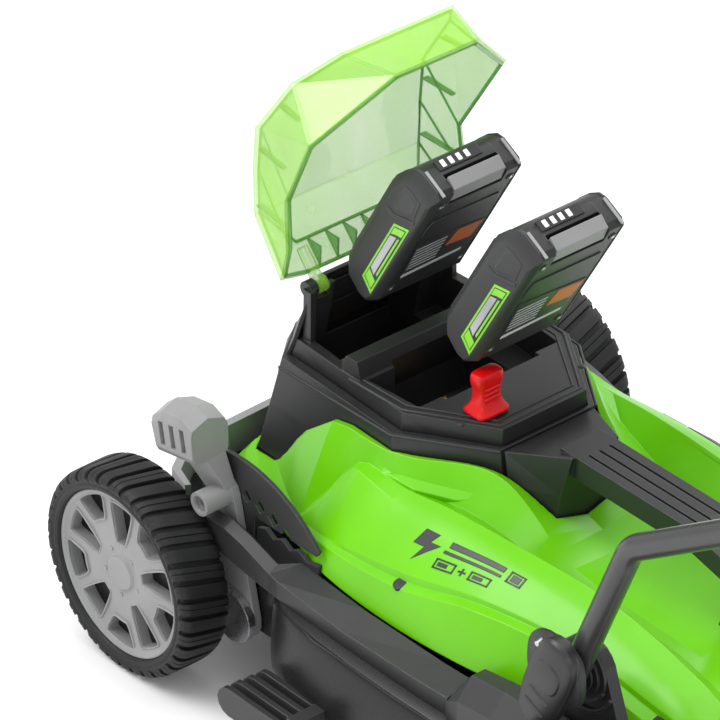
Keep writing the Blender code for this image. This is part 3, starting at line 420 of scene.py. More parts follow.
def rim(name, side, track, axle, radius, width, body):
    """Disc wheel with five long and five short windows, each in a raised frame."""
    at = wheel_mapper(side, track, axle)
    half = width / 2
    scale = radius / 82.5
    edge = radius * RIM_SHARE - 0.3
    profile = [(0.0, half - 5.0), (12.5, half - 5.0), (13.6, half - 5.8), (15.0, half - 7.2),
               (17.0, half - 7.2), (24.0, half - 6.4), (40.0 * scale, half - 7.6),
               (edge - 6.5, half - 7.0), (edge - 3.8, half - 5.2), (edge - 1.6, half - 3.6),
               (edge, half - 3.6), (edge, -half + 4.5), (edge - 3.5, -half + 4.5),
               (edge - 4.5, half - 18.0), (22.0, half - 18.0), (15.0, half - 20.0),
               (15.0, -half + 2.0), (5.4, -half + 2.0), (5.4, half - 12.0), (0.0, half - 12.0)]
    bm = bmesh.new()
    steps = 90
    layers = [[bm.verts.new(at(u, v, out)) for u, v in circle(r, steps if r else 1)]
              for r, out in profile]
    for lower, upper in zip(layers, layers[1:]):
        for i in range(steps):
            j = (i + 1) % steps
            corners = [layer[k % len(layer)] for layer, k in
                       ((lower, i), (lower, j), (upper, j), (upper, i))]
            bm.faces.new(list(dict.fromkeys(corners)))
    windows = []
    for k in range(5):
        windows.append(wedge(88 + 72 * k, 26.0 * scale, 59.0 * scale, 10.0, 12.4))
        windows.append(wedge(52 + 72 * k, 43.0 * scale, 62.0 * scale, 10.5, 15.0))
    holes = bmesh.new()
    frames = bmesh.new()
    for window in windows:
        add_loft(holes, [[at(r, u, out) for r, u in window] for out in (half - 30.0, half + 5.0)])
        rings = [[at(r, u, half - out) for r, u in grown(window, wider)]
                 for wider, out in ((-0.1, 8.6), (0.35, 5.9), (1.3, 6.1), (1.9, 8.6))]
        add_loft(frames, rings, caps=False)
    disc = finish_mesh(name + "_disc", bm, WHEEL, body)
    carve(disc, holes)
    for k in range(5):
        angle = math.radians(124 + 72 * k)
        notch = (19.5 * math.cos(angle), 19.5 * math.sin(angle))
        add_rod(frames, at(*notch, half - 9.0), at(*notch, half - 6.3), 1.7, 12)
    finish_mesh(name + "_window_frames", frames, WHEEL, body)
    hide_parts(name + "_rim")
    round_it(disc, 0.7, 2, 40.0)


def wheels():
    for side, word in SIDES:
        for end, *size in WHEEL_PAIRS:
            for make in (tyre, rim):
                make(f"{end}_wheel_{word}", side, *size, f"{end}_{word}_wheel")


# ---- battery packs ----------------------------------------------------------------
PACK_FEET = {"front": (-61.0, 286.0), "rear": (-168.0, 286.0)}
SIN_LEAN, COS_LEAN = 0.5, math.sqrt(0.75)
LABEL_GREEN = plastic("label_green", (0.230, 0.640, 0.030), 0.3, 900.0, 0.05, (0.35, 0.8, 0.1))
LABEL_DARK = plastic("label_dark", (0.018, 0.018, 0.020), 0.35, 900.0, 0.05, (0.03, 0.03, 0.03))
LABEL_GREY = plastic("label_grey", (0.420, 0.420, 0.440), 0.3, 600.0, 0.05, (0.6, 0.6, 0.6),
                     mottle=0.2, stretch=(1.0, 0.2, 0.2))
LABEL_ORANGE = plastic("label_orange", (0.500, 0.110, 0.015), 0.4, 900.0, 0.05, (0.6, 0.2, 0.05))
LABEL_PALE = plastic("label_pale", (0.55, 0.58, 0.60), 0.35, 900.0, 0.05, (0.7, 0.7, 0.7))
LAMP = plastic("lamp_white", (0.86, 0.87, 0.88), 0.25, 900.0, 0.02, (0.95, 0.95, 0.95))
CHEEK = plastic("pack_grey", (0.024, 0.024, 0.026), 0.48, 1500.0, 0.28, (0.19, 0.19, 0.195), 0.001)


# outlines on a pack, (along, across) from its foot, mm
PACK_BACK = [(13, -20), (2, -13), (0, -6), (5, 10), (14, 17), (19, 20), (120, 20), (133, 15),
             (142, 9), (145, 3)]
CHEEK_EDGE = [(12.6, -20.4), (1.8, -13.4), (-0.2, -6), (4.6, 10.2), (13.8, 17.4), (18.8, 20.4),
              (120, 20.4), (133.4, 15.4), (142.6, 9.4), (145.6, 3.2), (146, -15.2), (142.2, -20.4),
              (120, -20.4)]
CHEEK_FACE = [(15, -16), (6, -12), (4.5, -5), (8, 9), (16, 13.5), (22, 15), (112, 15), (124, 11),
              (130, 6), (132, 0), (131.5, -12), (128, -16), (112, -17)]
# plates on each cheek: outline, inner and outer x, material
CHEEK_PLATES = (
    ([(127, 7), (129, 0), (128, -11), (112, -13), (99, 2), (99, 9)], 43.3, 44.0, 0),
    ([(124, 5), (126, 0), (125, -8.5), (112.5, -10), (102, 2.5), (102, 6)], 43.6, 44.3, 1),
    ([(97, 11), (97, 3), (110, -14.5), (107, -15.5), (93, 2), (93, 11)], 43.3, 44.1, 0))
SIDE_LABELS = (
    ([(15.5, -14.5), (21, -1), (90, -1), (99.5, -14.5)], 43.4, 43.9, 0),
    ([(19.5, -13), (23.5, -2.6), (88.5, -2.6), (96, -13)], 43.5, 44.05, 1),
    ([(20.5, -12.4), (24.5, -3.2), (34, -3.2), (29.5, -12.4)], 43.6, 44.2, 0),
    ([(84, -7.5), (80, -3.2), (88, -3.2), (94.5, -12.4), (87, -12.4)], 43.6, 44.2, 0),
    ([(33, -8.8), (36.5, -3.4), (78, -3.4), (82, -8.8)], 43.6, 44.2, 2),
    ([(35, -11.8), (36, -10.2), (82, -10.2), (83.5, -11.8)], 43.6, 44.2, 0))
# plates on the rear face: (x, along) outline, outer level, material
REAR_LABELS = (
    ([(8, 77), (32, 75), (28.5, 56), (4, 59)], -20.8, 3),
    ([(-29, 40), (26, 43), (26, 39.5), (-29, 36)], -20.8, 4),
    *(([(-28 - 0.3 * i, 46 + 4.4 * i), (-1, 46.6 + 4.4 * i), (-1, 48 + 4.4 * i),
        (-28 - 0.3 * i, 47.4 + 4.4 * i)], -20.75, 2) for i in range(7)))


def pack_point(which, x, along, across):
    foot_y, foot_z = PACK_FEET[which]
    return place(x, foot_y - along * SIN_LEAN + across * COS_LEAN,
                 foot_z + along * COS_LEAN + across * SIN_LEAN)


def pack_plate(bm, which, outline, face, low, high, material=0):
    """A thin plate on a pack: its side takes (along, across), rear (x, along), top (x, across)."""
    to_pack = {"side": lambda p, q, level: (level, p, q), "rear": lambda p, q, level: (p, q, level),
               "top": lambda p, q, level: (p, level, q)}[face]
    add_loft(bm, [[pack_point(which, *to_pack(*point, level)) for point in outline]
                  for level in (low, high)], material)


def pack(which):
    body = f"{which}_battery"
    bm, cheeks, trim, label, lamps = (bmesh.new() for _ in range(5))
    pack_plate(bm, which, PACK_BACK + [(145, -4.2), (129.2, -4.2), (129.2, -20)], "side", -25, 25)
    middle = [tuple(0.5 * (p + q) for p, q in zip(a, b)) for a, b in zip(CHEEK_FACE, CHEEK_EDGE)]
    layers = [(36.5, CHEEK_EDGE), (38.5, CHEEK_EDGE), (42.0, middle), (43.5, CHEEK_FACE)]
    for side in (-1, 1):
        pack_plate(bm, which, PACK_BACK + [(145.5, -15), (142, -20), (120, -20)], "side",
                   side * 25, side * 36.2)
        add_loft(cheeks, [[pack_point(which, side * x, *point) for point in ring]
                          for x, ring in layers])
        for outline, low, high, material in CHEEK_PLATES:
            pack_plate(trim, which, outline, "side", side * low, side * high, material)
        x_low, x_high = sorted((side * 34.4, side * 36.8))
        strip = [(x_low, -20.2), (x_high, -20.2), (x_high, 3), (x_low, 3)]
        pack_plate(trim, which, strip, "top", 145.0, 146.4, 2)
        for along in (131, 24):
            for low, high, radius, sides, material in ((-19.5, -20.8, 3.4, 16, 1),
                                                       (-20.4, -21.2, 1.7, 6, 3)):
                add_rod(trim, pack_point(which, side * 32.5, along, low),
                        pack_point(which, side * 32.5, along, high), radius, sides, material)
        for outline, low, high, material in SIDE_LABELS:
            pack_plate(label, which, outline, "side", side * low, side * high, material)
    finish_mesh(f"pack_{which}_core", bm, BLACK, body, [f"battery_{which}_case"],
                0.9, 2, 30.0)
    finish_mesh(f"pack_{which}_cheeks", cheeks, CHEEK, body, bevel=0.7,
                angle=25.0)
    band = [(-31, 112), (31, 112), (34, 104), (34, 98), (-34, 92), (-34, 100)]
    pack_plate(trim, which, band, "rear", -19.6, -20.9, 1)
    finish_mesh(f"pack_{which}_trim", trim, [CHEEK, BLACK, BUTTON, STEEL], body,
                bevel=0.25)
    pack_plate(label, which, [(-33, 84), (34, 77), (29, 36), (-29, 34)], "rear", -19.8, -20.5, 1)
    for outline, level, material in REAR_LABELS:
        pack_plate(label, which, outline, "rear", -20.0, level, material)
    finish_mesh(f"pack_{which}_labels", label,
                [LABEL_GREEN, LABEL_DARK, LABEL_GREY, LABEL_ORANGE, LABEL_PALE], body)
    pack_plate(lamps, which, [(-25, -1), (15, -1), (15, 8), (-25, 8)], "top", 143.0, 146.0, 1)
    for i in range(4):
        x = -21.0 + 7.4 * i
        lamp = [(x, 0.6), (x + 3.6, 0.6), (x + 3.6, 6.6), (x, 6.6)]
        pack_plate(lamps, which, lamp, "top", 144.5, 146.6)
    finish_mesh(f"pack_{which}_lamps", lamps, [LAMP, LABEL_DARK], body, bevel=0.3)


wheels()
for pack_name in ("front", "rear"):
    pack(pack_name)


# ---- green hood -------------------------------------------------------------------
# Half sections from front to back: y, then x and z at the middle, inner valley, spear line,
# crest inside, crest outside, ledge top, ledge edge and skirt.
HOOD = [
    (18, 0, 128, 40, 128, 55, 127.5, 66, 127, 76, 125, 86, 122.5, 92, 120.5, 98, 117),
    (-4, 0, 160, 46, 160, 64, 156, 78, 151, 86, 148, 93, 145, 98, 141, 104, 130),
    (-30, 0, 170, 70, 166, 88, 150, 93, 147.5, 104, 145, 110, 142, 113, 139, 116, 131),
    (-67, 0, 190, 92, 188.5, 94, 186, 112, 145, 114, 143.5, 117, 141, 120, 138, 124, 131),
    (-97, 0, 212, 93.5, 212, 95.2, 209, 126, 144, 128, 142.5, 129, 141.5, 131, 139, 136, 131),
    (-115, 0, 215, 94, 216.3, 95.7, 211, 112, 170.5, 116, 168, 131, 147, 135, 144, 140, 133),
    (-124, 0, 215, 94.2, 216.5, 95.9, 211, 104, 187, 108.5, 185, 134, 150, 138, 147, 143, 134),
    (-132, 0, 215, 94.5, 216.6, 96, 210, 99, 196.5, 104, 194.5, 136, 152, 140.5, 148.5, 145.5, 135),
    (-142, 0, 215, 94.5, 216.8, 95.8, 207, 97, 200, 107, 198, 138, 154, 143, 151, 148.5, 134.5),
    (-156, 0, 213, 93.6, 217, 95.4, 203.5, 97.5, 200, 108, 197, 139, 157, 145, 153.5, 150.5, 134),
    (-171, 0, 208, 88, 217, 93.4, 199, 98, 199.5, 108.5, 195, 140, 160, 146, 154.5, 151.5, 133),
    (-230, 0, 190, 55, 217, 77, 193, 95.5, 204.5, 108, 198.5, 138.5, 169, 145.5, 160, 152, 131),
    (-300, 0, 170, 46, 173, 68, 180, 91.5, 206, 103.5, 202, 131, 181.5, 139, 175.5, 151.5, 136),
    (-380, 0, 170, 51, 172, 67, 180, 86, 203, 98.5, 198, 119.5, 182, 128, 177, 143, 141),
    (-450, 0, 172, 57, 175, 72, 180, 85, 191, 97.5, 186, 115.5, 172.5, 126.5, 166, 140, 141),
    (-510, 0, 161, 64, 163, 78, 166, 88, 171, 97.5, 168, 114, 161, 124, 155, 134, 140),
    (-536, 0, 146, 68, 146, 80, 147, 90, 148, 98, 147, 112, 145, 121, 142.5, 130, 138),
]
STRAIGHT_AHEAD = -172     # the sections are joined by straight lines in front of this y
LEDGE = 5                 # the strip that has a knee, from ledge top to ledge edge
BULGE = (0.0, 0.0, -0.8, 0.0, 0.9, 0.0, 0.6)   # rise of each strip between its lines, mm


def curve_value(knots, values, at):
    """Straight between the front knots, a cubic through the rear ones; knots run downward."""
    i = 0
    while i < len(knots) - 2 and at < knots[i + 1]:
        i += 1
    a, b = knots[i], knots[i + 1]
    t = (at - a) / (b - a)
    if b > STRAIGHT_AHEAD:
        return values[i] + (values[i + 1] - values[i]) * t

    def slope(k):
        low, high = max(0, k - 1), min(len(knots) - 1, k + 1)
        if 0 < k < len(knots) - 1:
            before, after = knots[k] - knots[k - 1], knots[k + 1] - knots[k]
            left = (values[k] - values[k - 1]) / before
            right = (values[k + 1] - values[k]) / after
            return (left * after + right * before) / (before + after)
        return (values[high] - values[low]) / (knots[high] - knots[low])
    m0, m1 = slope(i) * (b - a), slope(i + 1) * (b - a)
    return ((2 * t ** 3 - 3 * t ** 2 + 1) * values[i] + (t ** 3 - 2 * t ** 2 + t) * m0
            + (-2 * t ** 3 + 3 * t ** 2) * values[i + 1] + (t ** 3 - t ** 2) * m1)


def hood_point(y, column):
    """(x, z) on the right half of the hood; the column may lie between two lines."""
    knots = [row[0] for row in HOOD]
    low = min(int(column), 6)
    share = column - low
    ends = []
    for c in (low, low + 1):
        ends.append([curve_value(knots, [row[2 * c + k] for row in HOOD], y) for k in (1, 2)])
    (xa, za), (xb, zb) = ends
    if low == LEDGE:
        sunk = min(1.0, max(0.0, (-148 - y) / 14))
        knee = (xa + (xb - xa) * (0.4 - 0.30 * sunk), za + (zb - za) * (0.4 + 0.28 * sunk))
        if share < 0.4:
            part = share / 0.4
            return xa + (knee[0] - xa) * part, za + (knee[1] - za) * part
        part = (share - 0.4) / 0.6
        return knee[0] + (xb - knee[0]) * part, knee[1] + (zb - knee[1]) * part
    x, z = xa + (xb - xa) * share, za + (zb - za) * share
    bulge = BULGE[low] * 4 * share * (1 - share)
    run = math.hypot(xb - xa, zb - za) or 1.0
    return x + bulge * (za - zb) / run, z + bulge * (xb - xa) / run


def opening_ring(z, half, front, corner_y, side_y, rear_half, rear_y, nose_half, nose_y):
    right = [(46, front), (half[0], corner_y), (half[1], side_y), (rear_half, rear_y),
             (nose_half, nose_y)]
    return [place(x, y, z) for x, y in [(-x, y) for x, y in reversed(right)] + right]


def opening(g):
    """Room in the hood for the battery housing and the carry handle's foot, g mm to spare."""
    rings = [(100 - g, (96 + g, 96 + g), 26 + g, -6 + g, -166 - g, 50 + g, -236 - g, 31, -265 - g),
             (150, (94 + g, 95 + g), 20 + g, -14 + g, -164 - g, 49 + g, -234, 31, -265 - g),
             (190, (89 + g, 92 + g), 13 + g, -22 + g, -162 - g, 48 + g, -232, 30, -267 - g),
             (231, (84 + g, 89 + g), 0 + g, -30 + g, -157 - g, 47 + g, -227, 27, -275)]
    bm = bmesh.new()
    add_loft(bm, [opening_ring(*ring) for ring in rings])
    return bm


def hood():
    columns = [0, 1, 2, 3, 3.5, 4, 4.25, 4.5, 4.75, 5, 5.4, 6, 6.35, 6.7, 7]
    ys = []
    for here, after in zip(HOOD, HOOD[1:]):
        steps = max(1, round((here[0] - after[0]) / 5.5))
        ys += [here[0] + (after[0] - here[0]) * i / steps for i in range(steps)]
    ys = sorted(set(ys + [HOOD[-1][0], -148, -152, -162]), reverse=True)
    bm = bmesh.new()
    rings = []
    for y in ys:
        half = [hood_point(y, c) for c in columns]
        outer = [(-x, z) for x, z in reversed(half[1:])] + half
        inner = [(x * (1 - 2.6 / max(90.0, abs(x) + 30)), z - 2.4) for x, z in reversed(outer)]
        rings.append([place(x, y, z) for x, z in outer + inner])
    add_loft(bm, rings)
    shell = finish_mesh("hood", bm, GREEN, "chassis", ["top_cover"], angle=22.0)
    carve(shell, opening(1.0))
    shell.data.set_sharp_from_angle(angle=math.radians(16))
    round_it(shell, 0.8, 2, 16.0)
    hood_marks()


def spears():
    """A pointed shelf each side between the battery housing and the crest."""
    bm = bmesh.new()
    for side in (-1, 1):
        top = [(97.5, -157, 200.5), (91, -172, 203.5), (52, -248, 206.0), (79, -216, 198.0),
               (96, -190, 201.5)]
        low = [(96.5, -158, 190), (84, -174, 190), (50, -245, 190), (76, -214, 180), (95, -190, 190)]
        add_loft(bm, [[place(side * x, y, z) for x, y, z in row] for row in (top, low)])
    finish_mesh("hood_spears", bm, GREEN, "chassis", bevel=0.8, angle=15.0)


def on_hood(side, y, column, lift):
    """A world point a little above the hood's skin."""
    x, z = hood_point(y, column)
    x2, z2 = hood_point(y, column + 0.05)
    run = Vector((x2 - x, z2 - z)).normalized()
    return place(side * (x - run.y * lift), y, z + run.x * lift)


def decal(bm, side, outline):
    """A thin printed patch: outline points are (y, column)."""
    add_loft(bm, [[on_hood(side, y, c, lift) for y, c in outline] for lift in (0.05, 0.28)])


def block(bm, side, y0, y1, c0, c1):
    decal(bm, side, [(y0, c0), (y1, c0), (y1, c1), (y0, c1)])


def stripe(bm, side, y0, y1, c0, c1):
    """A printed bar that follows the skin from y0 to y1."""
    count = max(1, round(abs(y1 - y0) / 2.5))
    rings = []
    for i in range(count + 1):
        y = y0 + (y1 - y0) * i / count
        rings.append([on_hood(side, y, c0, 0.05), on_hood(side, y, c1, 0.05),
                      on_hood(side, y, c1, 0.5), on_hood(side, y, c0, 0.5)])
    add_loft(bm, rings)


def frame_patch(bm, side, y0, y1, c0, c1, wide):
    """An outlined cell in (y, column), drawn as four strips."""
    tall = wide / 46.0
    stripe(bm, side, y0, y1, c0, c0 + tall)
    stripe(bm, side, y0, y1, c1 - tall, c1)
    block(bm, side, y0, y0 - wide, c0, c1)
    block(bm, side, y1 + wide, y1, c0, c1)


def hood_marks():
    """Generic power pictogram: a bolt, bars and two cells joined by a plus; and the screws, each on a dark
    disc painted as the shade of its well.
    """
    bm, well_shade_and_screws = bmesh.new(), bmesh.new()
    for side in (-1, 1):
        decal(bm, side, [(-224, 4.16), (-238, 4.16), (-234, 4.34), (-244, 4.34), (-226, 4.74),
                         (-231, 4.46), (-220, 4.46)])
        for bar in ((-251, -303, 4.18, 4.30), (-249, -303, 4.37, 4.43)):
            stripe(bm, side, *bar)
        for cell in ((-308, -322, 4.18, 4.46, 1.6), (-247, -266, 4.54, 4.74, 1.4),
                     (-280, -299, 4.54, 4.74, 1.4)):
            frame_patch(bm, side, *cell)
        for patch in ((-311, -319, 4.24, 4.40), (-250, -259, 4.60, 4.68), (-283, -292, 4.60, 4.68),
                      (-269.5, -276.5, 4.62, 4.66), (-272.2, -273.8, 4.56, 4.72)):
            block(bm, side, *patch)
        # painted shade: a dark disc round each screw stands in for the shade inside its well
        for y, column in ((-228, 5.7), (-470, 5.5)):
            inside = on_hood(side, y, column, -5.0)
            add_rod(well_shade_and_screws, on_hood(side, y, column, 0.5), inside, 5.2, 24, 0)
            add_rod(well_shade_and_screws, on_hood(side, y, column, 0.7), inside, 2.6, 6, 1)
    finish_mesh("hood_pictogram", bm, LABEL_DARK, "chassis")
    spears()
    finish_mesh("hood_screws", well_shade_and_screws, [LABEL_DARK, DARK], "chassis")


hood()


# ---- clear lid details ------------------------------------------------------------
LID_HINGE = (-37.0, 284.0)
LID_SWING = math.radians(85.0)
LID_LOWER = [(62, -44, 291), (85, -50, 290), (85, -77, 286), (83, -116, 293), (92, -185, 262),
             (38, -238, 236)]
LID_UPPER = [(60, -60, 308), (78, -82, 330), (79, -118, 333), (79, -156, 333), (75, -208, 303),
             (52, -238, 279)]


def lid_point(x, y, z):
    """A closed-lid place, swung up to the open rest position."""
    dy, dz = y - LID_HINGE[0], z - LID_HINGE[1]
    c, s = math.cos(LID_SWING), math.sin(LID_SWING)
    return place(x, LID_HINGE[0] + dy * c + dz * s, LID_HINGE[1] - dy * s + dz * c)


def lid_bead(bm, line, radius):
    """A bead along closed-lid places, pulled a little toward the middle of the lid's room."""
    share, middle = 0.03, (0.0, -135.0, 285.0)
    add_bead(bm, [lid_point(*(a + (b - a) * share for a, b in zip(point, middle)))
                  for point in line], radius)


def lid_rib(bm, corners, half_x, half_y):
    """A flat rib on closed-lid places, its thickness along x or y."""
    add_loft(bm, [[lid_point(x + k * half_x, y + k * half_y, z) for x, y, z in corners]
                  for k in (-1, 1)])


def lid_details():
    bm, ribs = bmesh.new(), bmesh.new()
    for x in (-47, -30, -13, 4, 21, 38):
        lid_rib(ribs, [(x, -45.5, 292), (x, -61, 309), (x, -62, 293)], 0.8, 0)
    for side in (-1, 1):
        lower, upper = [[(side * x, y, z) for x, y, z in line] for line in (LID_LOWER, LID_UPPER)]
        lid_bead(bm, lower, 1.5)
        lid_bead(bm, upper, 1.1)
        for ends in list(zip(lower, upper))[1:5]:
            lid_bead(bm, ends, 0.9)
        for y, z0, z1 in ((-92, 296, 327), (-140, 300, 329), (-186, 290, 312)):
            x = side * (82 if y > -150 else 80)
            lid_rib(ribs, [(x, y, z0), (x - side * 1.5, y, z1), (x - side * 7, y, z1),
                           (x - side * 4, y, z0)], 0, 0.7)
    for line in (LID_LOWER, LID_UPPER):
        for x, y, z in (line[0], line[-1]):
            lid_bead(bm, [(-x, y, z), (x, y, z)], 1.3)
    finish_mesh("lid_edges", bm, TINTED, "lid")
    finish_mesh("lid_ribs", ribs, TINTED, "lid")


lid_details()


# ---- handle tubes, clamps and switch box ------------------------------------------
HANDLE_FOOT = (-432.0, 205.0)
HANDLE_FOLD = (-750.0, 512.0)
HANDLE_GRIP = (-1155.0, 985.0)


def bent_path(points, radius, steps=9):
    """Straight runs joined by smooth bends."""
    points = [Vector(point) for point in points]
    path = [points[0]]
    for before, corner, after in zip(points, points[1:], points[2:]):
        a, b = (before - corner).normalized(), (after - corner).normalized()
        half = a.angle(b) / 2
        reach = min(radius / math.tan(half), (before - corner).length * 0.45,
                    (after - corner).length * 0.45)
        start, end = corner + a * reach, corner + b * reach
        for i in range(steps + 1):
            t = i / steps
            path.append(start * (1 - t) ** 2 + corner * 2 * t * (1 - t) + end * t ** 2)
    path.append(points[-1])
    return path


def sweep(bm, path, size, sides=28):
    """A tube along a path of front-axle places; size(distance) gives its two half widths."""
    length, rings, side_way = 0.0, [], None
    for i, point in enumerate(path):
        before, after = path[max(0, i - 1)], path[min(len(path) - 1, i + 1)]
        along = (after - before).normalized()
        if side_way is None:
            side_way = Vector((1, 0, 0)) if abs(along.x) < 0.9 else Vector((0, 1, 0))
        side_way = (side_way - along * side_way.dot(along)).normalized()
        other = along.cross(side_way)
        if i:
            length += (point - path[i - 1]).length
        thin, wide = size(length)
        rings.append([place(*(point + side_way * thin * u + other * wide * v))
                      for u, v in circle(1.0, sides)])
    add_loft(bm, rings)


def lower_tube(side, word):
    def size(length):
        t = min(1.0, max(0.0, (length - 16) / 34))
        t = t * t * (3 - 2 * t)
        return 4.0 + 5.5 * t, 12.0 - 2.5 * t

    x = side * 165.0
    foot = [(x, -426, 196), (x, -440, 223), (x, -486, 337), (x, -763, 521)]
    path = bent_path(foot, 34, 14)
    dense = []
    for a, b in zip(path, path[1:]):
        parts = max(1, int((b - a).length / 6)) if (a - path[0]).length < 70 else 1
        dense += [a + (b - a) * i / parts for i in range(parts)]
    dense.append(path[-1])
    bm = bmesh.new()
    sweep(bm, dense, size)
    tube = finish_mesh(f"lower_tube_{word}", bm, TUBE, "lower_handle", [f"lower_handle_{word}"],
                       angle=40.0)
    hole = bmesh.new()
    add_rod(hole, place(x - 22, *HANDLE_FOLD), place(x + 22, *HANDLE_FOLD), 4.4, 20)
    carve(tube, hole)
    pin = bmesh.new()
    add_rod(pin, place(side * 141, *HANDLE_FOOT), place(side * 172, *HANDLE_FOOT), 4.9, 24)
    add_rod(pin, place(side * 168.6, *HANDLE_FOOT), place(side * 172.5, *HANDLE_FOOT), 8.0, 6)
    finish_mesh(f"handle_pin_{word}", pin, STEEL, "lower_handle", bevel=0.5)


def oval(cy, cz, lean, long, wide, count=28, taper=0.0):
    """Outline of a leaning rounded pad, wider at its upper end by taper."""
    points = []
    for u, v in circle(1.0, count):
        pu = math.copysign(abs(u) ** 0.72, u) * long
        pv = math.copysign(abs(v) ** 0.80, v) * wide * (1 + taper * u)
        points.append((cy + pu * math.cos(lean) - pv * math.sin(lean),
                       cz + pu * math.sin(lean) + pv * math.cos(lean)))
    return points


def stack(bm, side, layers):
    """Outlines stacked outward from the mower's middle: (x, outline) pairs."""
    add_loft(bm, [[place(side * x, y, z) for y, z in outline] for x, outline in layers])


def arc(y, z, radius, first, last):
    """Thirteen places on a circle, angles in degrees."""
    for k in range(13):
        angle = math.radians(first + (last - first) * k / 12)
        yield y + radius * math.cos(angle), z + radius * math.sin(angle)


def cam_clamp(side, word):
    y, z = HANDLE_FOOT
    lean = math.radians(112)
    body, bits, cups = bmesh.new(), bmesh.new(), bmesh.new()

    def pad(cy, cz, layers, tilt=lean, count=28, taper=0.0):
        stack(body, side, [(x, oval(cy, cz, tilt, long, wide, count, taper))
                           for x, long, wide in layers])
    pad(y + 5, z - 2, ((175.3, 39.5, 17), (177.0, 42, 19.5), (184.6, 42, 19.5),
                       (187.2, 40.4, 17.9), (188.4, 37.5, 15)), count=32, taper=0.12)
    pad(y + 1, z + 8, ((188.0, 13, 13), (189.3, 12, 12), (189.6, 10.5, 10.5)))
    pad(y + 24, z - 24, ((176.5, 9, 5.5), (186.5, 9, 5.5), (187.4, 7.5, 4.2)))
    for share in (-0.55, -0.25):
        pad(y + 5 + 42 * share * math.cos(lean), z - 2 + 42 * share * math.sin(lean),
            ((188.2, 1.3, 11), (189.1, 1.0, 10.4)))
    pad(y + 2, z + 9, ((175.4, 26, 26), (176.4, 28, 28), (179.6, 28, 28), (181.0, 25.5, 25.5)),
        0.0, 40)
    finish_mesh(f"cam_clamp_{word}", body, BLACK, f"{word}_cam_lever", [f"cam_lever_{word}"],
                0.7, 2, 30)
    for by, bz in ((y + 14, z + 29), (y + 26, z - 33)):
        add_rod(bits, place(side * 178, by, bz), place(side * 186.6, by - 1, bz - 1), 2.2)
    finish_mesh(f"cam_pins_{word}", bits, STEEL, f"{word}_cam_lever", bevel=0.5)
    for x0, x1, radius in ((155.1, 157.6, 24), (157.6, 159.4, 19), (159.4, 160.6, 14)):
        add_rod(cups, place(side * x0, y, z), place(side * x1, y, z), radius, 48)
    for x0, radius in ((155.1, 32), (156.4, 25)):
        outline = [*arc(y, z, radius, 200, 310), *arc(y, z, radius - 3, 310, 200)]
        stack(cups, side, [(x0 - 1.0, outline), (x0 + 2.4, outline)])
    finish_mesh(f"bracket_cups_{word}", cups, BLACK, "chassis", bevel=0.6)


def switch_housing():
    """Two-part switch case round the tube: chamfered shell, seam, screw posts, grip ribs."""
    x0, cy, cz = -143.0, HANDLE_GRIP[0] + 62, HANDLE_GRIP[1] - 70
    bm = bmesh.new()

    def ring(x, grow):
        points = [(-32, -20), (-20, -33), (18, -33), (31, -16), (31, 18), (19, 33), (-16, 33),
                  (-31, 20)]
        return [place(x, cy + py * grow, cz + pz * grow) for py, pz in points]
    widths = ((29.5, 0.80), (24, 0.97), (2, 1.0), (1.2, 0.965))
    add_loft(bm, [ring(x0 - out, grow) for out, grow in widths]
             + [ring(x0 + out, grow) for out, grow in reversed(widths)])
    shell = finish_mesh("switch_case", bm, BLACK, "upper_handle", ["switch_box"])
    cuts = bmesh.new()
    add_rod(cuts, place(x0 + 14, cy - 15, cz), place(x0 + 14, cy - 40, cz), 8, 32)
    carve(shell, cuts)
    cuts = bmesh.new()
    sweep(cuts, [Vector((x0, cy + 80, cz - 83)), Vector((x0 - 6.5, cy - 45, cz + 52))],
          lambda length: (10.4, 10.4))
    carve(shell, cuts)
    round_it(shell, 1.4, 3, 28)
    ribs = bmesh.new()
    for k in range(5):
        z = cz - 14 + 7 * k
        for side in (-1, 1):
            x = x0 + side * 28.6
            outline = [(-15, -1.3), (15, -1.3), (15, 1.3), (-15, 1.3)]
            add_loft(ribs, [[place(x, cy + py, z + pz) for py, pz in outline],
                            [place(x + side * 1.3, cy + py * 0.96, z + pz * 0.7) for py, pz in outline]])
    for px, pz in ((-20, 21), (-20, -21), (22, -21)):
        add_rod(ribs, place(x0 + px, cy - 24, cz + pz), place(x0 + px, cy - 28, cz + pz), 4.4, 24)
    finish_mesh("switch_ribs", ribs, DARK, "upper_handle", bevel=0.4)


for SIDE, WORD in SIDES:
    lower_tube(SIDE, WORD)
    cam_clamp(SIDE, WORD)
switch_housing()


# ---- housing, key and deck finish -------------------------------------------------
def rounded_ring(x, y, z, half_x, half_y, power=0.45, count=36):
    """A rounded rectangle at one height."""
    return [place(x + math.copysign(abs(c) ** power, c) * half_x,
                  y + math.copysign(abs(s) ** power, s) * half_y, z)
            for c, s in circle(1.0, count)]


def key():
    x, y = -33.0, -195.0
    bm = bmesh.new()
    layers = [(5.2, 5.2, 222.3), (5.2, 5.2, 244.4), (13.2, 10.2, 244.5), (14.8, 11.8, 245.6),
              (14.8, 11.8, 247.6), (12.6, 9.0, 250.6), (10.6, 7.2, 254.4), (9.9, 6.6, 259),
              (9.8, 6.5, 264), (10.8, 6.8, 268), (11.9, 7.0, 271), (12.0, 7.0, 275.4),
              (11.3, 6.5, 277.7), (9.2, 4.9, 278.8)]
    add_loft(bm, [rounded_ring(x, y, z, hx, hy) for hx, hy, z in layers])
    for side in (-1, 1):
        for z in (257.5, 261.5, 265.5):
            add_loft(bm, [[place(x + u * half, y + side * out, z + up)
                           for u, up in ((-1, low), (1, low), (1, high), (-1, high))]
                          for half, out, low, high in ((7, 6.0, 0, 1.6), (6.4, 7.3, 0.3, 1.3))])
    finish_mesh("key_grip", bm, RED, "key", ["safety_key"], 0.5, 2, 40)


